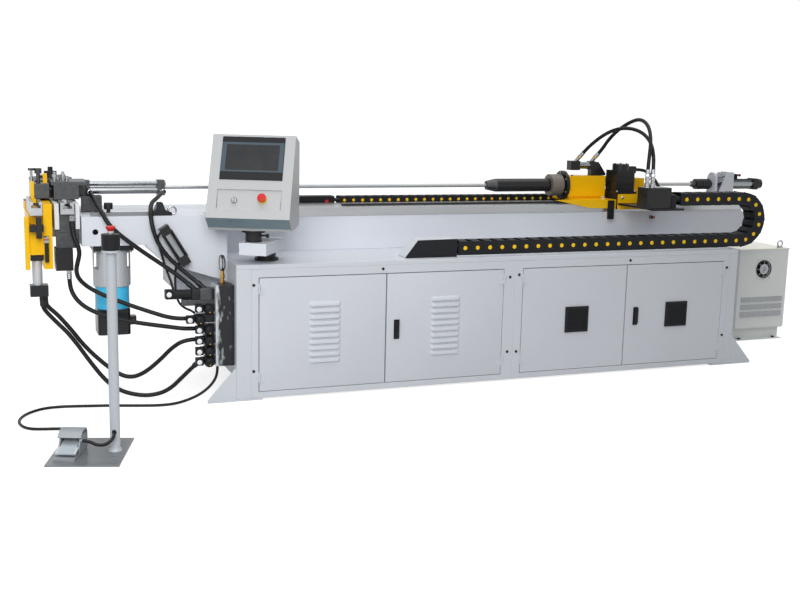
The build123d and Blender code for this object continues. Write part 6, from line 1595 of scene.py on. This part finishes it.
# Foot switch stand: its stop button's place, cap and collar
STAND_BUTTON_AT = (-491.3, -588.8, 874.2)
STAND_CAP = (
    (0.0, 7.0), (10.0, 7.0), (11.0, 9.0), (13.5, 14.0), (17.5, 19.0), (19.0, 22.0), (19.0, 24.5),
    (17.0, 26.6), (0.0, 27.0),
)
STAND_COLLAR = ((0.0, -22.0), (8.6, -22.0), (8.6, 2.2), (13.0, 2.2), (13.0, 8.0), (0.0, 8.0))


class PIPEBENDER_OT_stand(Operator):
    """Build the foot switch stand, its pedal and its stop button"""

    bl_idname = "pipe_bender.stand"
    bl_label = "Foot switch stand"

    def execute(self, context):
        # Floor plate, then the gland in the post
        finishes = (
            ("steel_rolled", None, None, (-1, 6.1)),
            ("abs_black", (-512, -480), (-625, -604), (68, 102)),
        )
        skin("foot_stand", "stand_enamel", finishes)
        skin("stop_cup", "abs_black", edge=2.0 * MM)
        button = [
            (turned(STAND_CAP, STAND_BUTTON_AT, Z_AXIS, 32), "abs_red"),
            (turned(STAND_COLLAR, STAND_BUTTON_AT, Z_AXIS, 32), "aluminium_cast"),
        ]
        build("stand_button", button, "stand_button", ["stand_stop"])
        # The hood takes the darker copy of the pedal's aluminium, painted shade against the light on its top
        skin("pedal_housing", "aluminium_pedal_painted_shade", edge=1.0 * MM, crease=45.0)
        skin("treadle", "aluminium_pedal", edge=0.5 * MM)
        return {"FINISHED"}


# Fan in the transformer's front: middle, opening, guard rim, rings, spokes, screws and hub
FAN_AT = np.array((3520.0, 494.0, 441.0))
FAN_OPENING_HALF = 56.0
FAN_RIM = ((51, 0), (55, 0), (55, 6), (51, 6))
FAN_RINGS = (27.0, 17.0)
FAN_RING_HALF = 4.0
FAN_SPOKE = rod(1.6, 53.0)
FAN_SCREWS = (47.0, 57.0)
FAN_HUB_HALF = 13.0
CASE_FRONT_Y = 500.0


class PIPEBENDER_OT_transformer(Operator):
    """Finish the transformer case with its vent slats and fan"""

    bl_idname = "pipe_bender.transformer"
    bl_label = "Transformer"

    def execute(self, context):
        opening = [(FAN_AT[axis] - FAN_OPENING_HALF, FAN_AT[axis] + FAN_OPENING_HALF) for axis in (0, 2)]
        # Lid, lifting eye, foot bolts and vents
        skin(
            "transformer_case",
            "powder_coat_transformer",
            (
                ("enamel_cream", None, None, (560.1, 567)),
                ("zinc_bright", (3626, 3674), (500, 550), (566.5, 616)),
                ("steel_black_oxide", (3380, 3660), (510, 534), (5.1, 14)),
                ("vent_strip", (3366, 3676), (493, 499.5), (146, 272)),
            ),
            edge=sizes().edge,
            drop=((opening[0], (493, 499.5), opening[1]),),
        )
        parts = [(turned(FAN_RIM, FAN_AT, Y_AXIS, 40), "abs_black")]
        for radius in FAN_RINGS:
            inner, outer = radius - FAN_RING_HALF, radius + FAN_RING_HALF
            ring = ((inner, 0), (outer, 0), (outer, 4), (inner, 4), (inner, 0))
            parts.append((turned(ring, FAN_AT, Y_AXIS, 40), "aluminium_cast"))
        for spoke in bolt_circle((0, 0, 0), X_AXIS, Z_AXIS, 8):
            parts.append((turned(FAN_SPOKE, FAN_AT + 2.0 * Y_AXIS, spoke, 8), "zinc_bright"))
        face = (FAN_AT[0], CASE_FRONT_Y, FAN_AT[2])
        corners = bolt_corners(face, FAN_SCREWS[0] * X_AXIS, FAN_SCREWS[1] * Z_AXIS)
        parts += screws(corners, -Y_AXIS, 4.0, 2.5, "zinc_bright")
        build("fan_guard", parts, "machine")
        across = [(FAN_AT[axis] - FAN_HUB_HALF, FAN_AT[axis] + FAN_HUB_HALF) for axis in (0, 2)]
        hub = ("aluminium_cast", across[0], (CASE_FRONT_Y, 531), across[1])
        skin("fan_rotor", "abs_black", (hub,), edge=0.0)
        return {"FINISHED"}


# Hose routes from exit to far end, in plan millimetres, as the CAD solids have them
ROUTES = {
    "booster_hose_left": (
        (-464, 456, 950), (-464, 414, 950), (-460, 356, 938), (-454, 300, 920), (-446, 244, 896),
        (-436, 186, 876), (-420, 152, 838), (-394, 146, 804), (-344, 147, 759), (-254, 146, 690),
        (-174, 138, 634), (-108, 121, 585), (-66, 106, 548),
    ),
    "booster_hose_right": (
        (-122, 454, 948), (-122, 414, 948), (-142, 362, 942), (-172, 304, 926), (-208, 246, 909),
        (-222, 176, 874), (-218, 150, 802), (-192, 150, 730), (-152, 146, 672), (-104, 138, 624),
        (-62, 123.5, 586), (-22, 104, 552),
    ),
    "press_hose_front": (
        (-565, 198, 837.8), (-565, 198, 806), (-560, 184, 766), (-544, 176, 730), (-538, 175, 690),
        (-549, 175, 650), (-556, 176, 614), (-544, 184, 574), (-498, 188, 530), (-412, 172, 486),
        (-318, 152, 449), (-222, 128, 415), (-164, 108, 397), (-110, 88, 390), (-65.4, 88, 390),
    ),
    "press_hose_rear": (
        (-581, 236, 598), (-581, 236, 560), (-574, 228, 512), (-548, 212, 468), (-500, 196, 430),
        (-430, 178, 402), (-340, 154, 378), (-240, 128, 362), (-150, 106, 350), (-84, 88, 341),
        (-31.4, 88, 341),
    ),
    "assist_hose_upper": (
        (-178.3, 166.8, 778.4), (-192, 166.8, 770.1), (-190, 166, 735), (-178, 164, 691),
        (-166, 158, 640), (-152, 140, 592), (-142, 112, 556), (-138, 92, 527),
    ),
    "assist_hose_lower": (
        (-94.2, 166.8, 638.1), (-108, 166.8, 629.8), (-117, 150, 600), (-121, 132, 560),
        (-121, 124, 510), (-110, 118, 460), (-82, 106, 434), (-52, 96, 424), (-40, 91, 412),
    ),
    "clamp_hose_upper": (
        (-686, 257, 480), (-686, 257, 454), (-664, 255, 430), (-638, 250, 406), (-611, 244, 374),
        (-576, 236, 330), (-524, 222, 257), (-450, 204, 181), (-379, 182, 124), (-322, 165, 107),
        (-263, 149, 131), (-196, 130, 191), (-146, 108, 250), (-90, 88, 290), (-31.4, 88, 290),
    ),
    "clamp_hose_lower": (
        (-702, 222, 480), (-702, 222, 452), (-686, 224, 424), (-662, 225, 396), (-635, 222, 366),
        (-596, 214, 325), (-548, 202, 258), (-503, 190, 188), (-439, 172, 100), (-384, 156, 57),
        (-325, 142, 35), (-258, 130, 25), (-191, 119, 36), (-144, 110, 64), (-108, 104, 100),
        (-75, 97.5, 133.5), (-42, 91, 166),
    ),
    "carriage_hose_back": (
        (2382, 105, 1046), (2382, 105, 1092), (2391, 114, 1146), (2410, 136, 1206), (2432, 180, 1268),
        (2446, 244, 1316), (2444, 314, 1334), (2424, 380, 1312), (2390, 440, 1266), (2362, 484, 1212),
        (2345, 517, 1157), (2323.3, 543, 1117.7),
    ),
    "carriage_hose_front": (
        (2415, 105, 1046), (2415, 105, 1092), (2420, 118, 1146), (2428, 152, 1198), (2430, 206, 1242),
        (2416, 268, 1272), (2384, 328, 1284), (2340, 384, 1274), (2298, 436, 1240), (2262, 484, 1192),
        (2242.6, 520, 1154.5), (2223.3, 543, 1119.7),
    ),
    "motor_conduit": (
        (2548.2, 488, 1047), (2594, 488, 1047), (2640, 485, 1031), (2678, 472, 992), (2692, 446, 946),
        (2678, 404, 910), (2640, 360, 892), (2600, 330, 886), (2574, 310, 876),
    ),
    "foot_cable": (
        (56, 52, 165), (56, 52, 135), (44, 50, 100), (16, 46, 68), (-26, 38, 40), (-84, 26, 20),
        (-150, 14, 8.6), (-222, 14, 6.9), (-294, 32, 6.9), (-366, 53, 6.9), (-438, 76, 6.9),
        (-510, 90, 6.9), (-582, 106, 6.9), (-650, 117, 6.9), (-716, 109, 6.9), (-772, 66, 6.9),
        (-812, 8, 6.9), (-834, -68, 6.9), (-826, -146, 6.9), (-796, -198, 6.9), (-746, -216, 6.9),
        (-690, -226, 6.9), (-642, -248, 8), (-616, -292, 14), (-608, -342, 26), (-609, -398, 40),
        (-613.6, -450, 50), (-629.2, -499.6, 52),
    ),
    "stand_lead": (
        (-618, -605.6, 62), (-594, -615, 60), (-568, -629, 46), (-536, -639, 46), (-511, -638, 62),
        (-499, -627, 78), (-497, -612, 84),
    ),
}
# Length in metres, the body at each end, the lay, the CAD node that holds the solid and the size's name
HOSES = {
    "booster_hose_left": (0.798, "press", "machine", "hanging", "head_hoses", "hose_diameter"),
    "booster_hose_right": (0.713, "press", "machine", "hanging", "head_hoses", "hose_diameter"),
    "press_hose_front": (0.807, "machine", "machine", "hanging", "head_hoses", "hose_diameter"),
    "press_hose_rear": (0.695, "machine", "machine", "hanging", "head_hoses", "hose_diameter"),
    "assist_hose_upper": (0.283, "machine", "machine", "hanging", "head_hoses", "thin_hose_diameter"),
    "assist_hose_lower": (0.285, "machine", "machine", "hanging", "head_hoses", "thin_hose_diameter"),
    "clamp_hose_upper": (0.908, "swing", "machine", "hanging", "clamp_hoses", "hose_diameter"),
    "clamp_hose_lower": (0.944, "swing", "machine", "hanging", "clamp_hoses", "hose_diameter"),
    "carriage_hose_back": (0.744, "carriage", "carriage", "hanging", "carriage_hoses", "hose_diameter"),
    "carriage_hose_front": (0.694, "carriage", "carriage", "hanging", "carriage_hoses", "hose_diameter"),
    "motor_conduit": (0.402, "carriage", "carriage", "hanging", "carriage_hoses", "conduit_diameter"),
    "foot_cable": (1.647, "machine", "machine", "loose", "foot_cables", "cable_diameter"),
    "stand_lead": (0.158, "machine", "machine", "hanging", "foot_cables", "cable_diameter"),
}
# Point along a hose that its end fitting is aimed at
FERRULE_AIM = 3
# Metal of the nut and of the sleeve at each end that has a crimped fitting, and the length of a long sleeve
FITTINGS = {
    "booster_hose_left": (("brass_turned", "zinc_bright", 62.0), None),
    "booster_hose_right": (("brass_turned", "zinc_bright", 54.0), None),
    "press_hose_front": (("zinc_bright", "steel_black_oxide"), None),
    "press_hose_rear": (("zinc_bright", "zinc_bright"), None),
    "clamp_hose_upper": (("steel_black_oxide", "steel_black_oxide"), None),
    "clamp_hose_lower": (("steel_black_oxide", "steel_black_oxide"), None),
    "carriage_hose_back": (("zinc_bright", "zinc_bright"), ("brass_turned", "zinc_bright")),
    "carriage_hose_front": (("zinc_bright", "zinc_bright"), ("brass_turned", "zinc_bright")),
}


def spline_points(route):
    """Points in plan millimetres, read from a NURBS spline of order three controlled by the route."""
    curve = bpy.data.curves.new("route", "CURVE")
    curve.dimensions = "3D"
    curve.resolution_u = 10
    spline = curve.splines.new("NURBS")
    spline.points.add(len(route) - 1)
    spline.points.foreach_set("co", np.column_stack((metres(route), np.ones(len(route)))).ravel())
    spline.order_u = 3
    spline.use_endpoint_u = True
    holder = bpy.data.objects.new("route", curve)
    bpy.context.scene.collection.objects.link(holder)
    bpy.context.view_layer.update()
    line = bpy.data.meshes.new_from_object(holder)
    points = np.empty(3 * len(line.vertices))
    line.vertices.foreach_get("co", points)
    bpy.data.meshes.remove(line)
    bpy.data.objects.remove(holder)
    bpy.data.curves.remove(curve)
    return points.reshape(-1, 3) / MM - PLAN_SHIFT


def ferrule(at, away, radius, nut_metal, sleeve_metal, length=27.0):
    """A crimped sleeve with a hexagon nut: the sleeve's radius ripples along its length."""
    height = np.linspace(0.0, length, 25)
    ripple = radius + 1.8 + 0.35 * np.cos(height / length * math.tau * 3)
    sleeve = [(radius * 0.6, 0.0), *zip(ripple, height), (radius * 0.98, length + 0.5)]
    bore, chamfer, flat = radius * 0.6, radius + 2.4, radius + 3.4
    nut = ((bore, -13.0), (chamfer, -13.0), (flat, -11.8), (flat, -2.0), (chamfer, 0.0), (bore, 0.0))
    return [(turned(sleeve, at, away, 24), sleeve_metal), (turned(nut, at, away, 6), nut_metal)]


class PIPEBENDER_OT_hoses(Operator):
    """Build the hydraulic hoses, the conduit and the foot switch cables as tubes along their routes"""

    bl_idname = "pipe_bender.hoses"
    bl_label = "Hoses and cables"

    def execute(self, context):
        for name, route in ROUTES.items():
            length, near, far, lay, cad_node, size_name = HOSES[name]
            diameter = getattr(sizes(), size_name)
            radius = diameter / MM / 2
            path = spline_points(route)
            points, faces, corners = swept(path, radius)
            mesh = bpy.data.meshes.new(name)
            quads = [face for group in faces for face in np.asarray(group).tolist()]
            mesh.from_pydata(metres(points).tolist(), [], quads)
            mesh.uv_layers.new(name="UVMap").data.foreach_set("uv", corners.ravel())
            shape = bmesh.new()
            shape.from_mesh(mesh)
            bmesh.ops.recalc_face_normals(shape, faces=shape.faces)
            shape.to_mesh(mesh)
            shape.free()
            smooth(mesh)
            mesh.materials.append(finish("rubber_wrapped"))
            tube = bpy.data.objects.new(name, mesh)
            context.scene.collection.objects.link(tube)
            ends = (("near", path, near), ("far", path[::-1], far))
            for (side, line, body), metals in zip(ends, FITTINGS.get(name, (None, None))):
                if metals:
                    fitting = ferrule(line[0], line[FERRULE_AIM] - line[0], radius, *metals)
                    build(f"{name}_ferrule_{side}", fitting, body)
            if near == far:
                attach(tube, near)
            else:
                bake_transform(tube)
            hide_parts(cad_node)
        return {"FINISHED"}


class PIPEBENDER_PT_panel(Panel):
    """Lists the machine's builders"""

    bl_idname = "PIPEBENDER_PT_panel"
    bl_label = "Pipe bender"
    bl_space_type = "VIEW_3D"
    bl_region_type = "UI"
    bl_category = "Pipe bender"

    def draw(self, context):
        for operator in OPERATORS:
            self.layout.operator(operator.bl_idname)


OPERATORS = (
    PIPEBENDER_OT_stage,
    PIPEBENDER_OT_hoses,
    PIPEBENDER_OT_cabinet,
    PIPEBENDER_OT_beam,
    PIPEBENDER_OT_chains,
    PIPEBENDER_OT_carriage,
    PIPEBENDER_OT_extractor,
    PIPEBENDER_OT_head,
    PIPEBENDER_OT_valves,
    PIPEBENDER_OT_console,
    PIPEBENDER_OT_stand,
    PIPEBENDER_OT_transformer,
)
CLASSES = (PIPEBENDER_PG_colours, PIPEBENDER_PG_sizes, *OPERATORS, PIPEBENDER_PT_panel)


def register():
    for entry in CLASSES:
        bpy.utils.register_class(entry)
    bpy.types.Scene.pipe_bender_colours = PointerProperty(type=PIPEBENDER_PG_colours)
    bpy.types.Scene.pipe_bender_sizes = PointerProperty(type=PIPEBENDER_PG_sizes)


def unregister():
    del bpy.types.Scene.pipe_bender_colours
    del bpy.types.Scene.pipe_bender_sizes
    for entry in reversed(CLASSES):
        bpy.utils.unregister_class(entry)


def main():
    register()
    bpy.ops.pipe_bender.stage()
    bpy.ops.pipe_bender.hoses()
    bpy.ops.pipe_bender.cabinet()
    bpy.ops.pipe_bender.beam()
    bpy.ops.pipe_bender.chains()
    bpy.ops.pipe_bender.carriage()
    bpy.ops.pipe_bender.extractor()
    bpy.ops.pipe_bender.head()
    bpy.ops.pipe_bender.valves()
    bpy.ops.pipe_bender.console()
    bpy.ops.pipe_bender.stand()
    bpy.ops.pipe_bender.transformer()


if __name__ == "__main__":
    main()
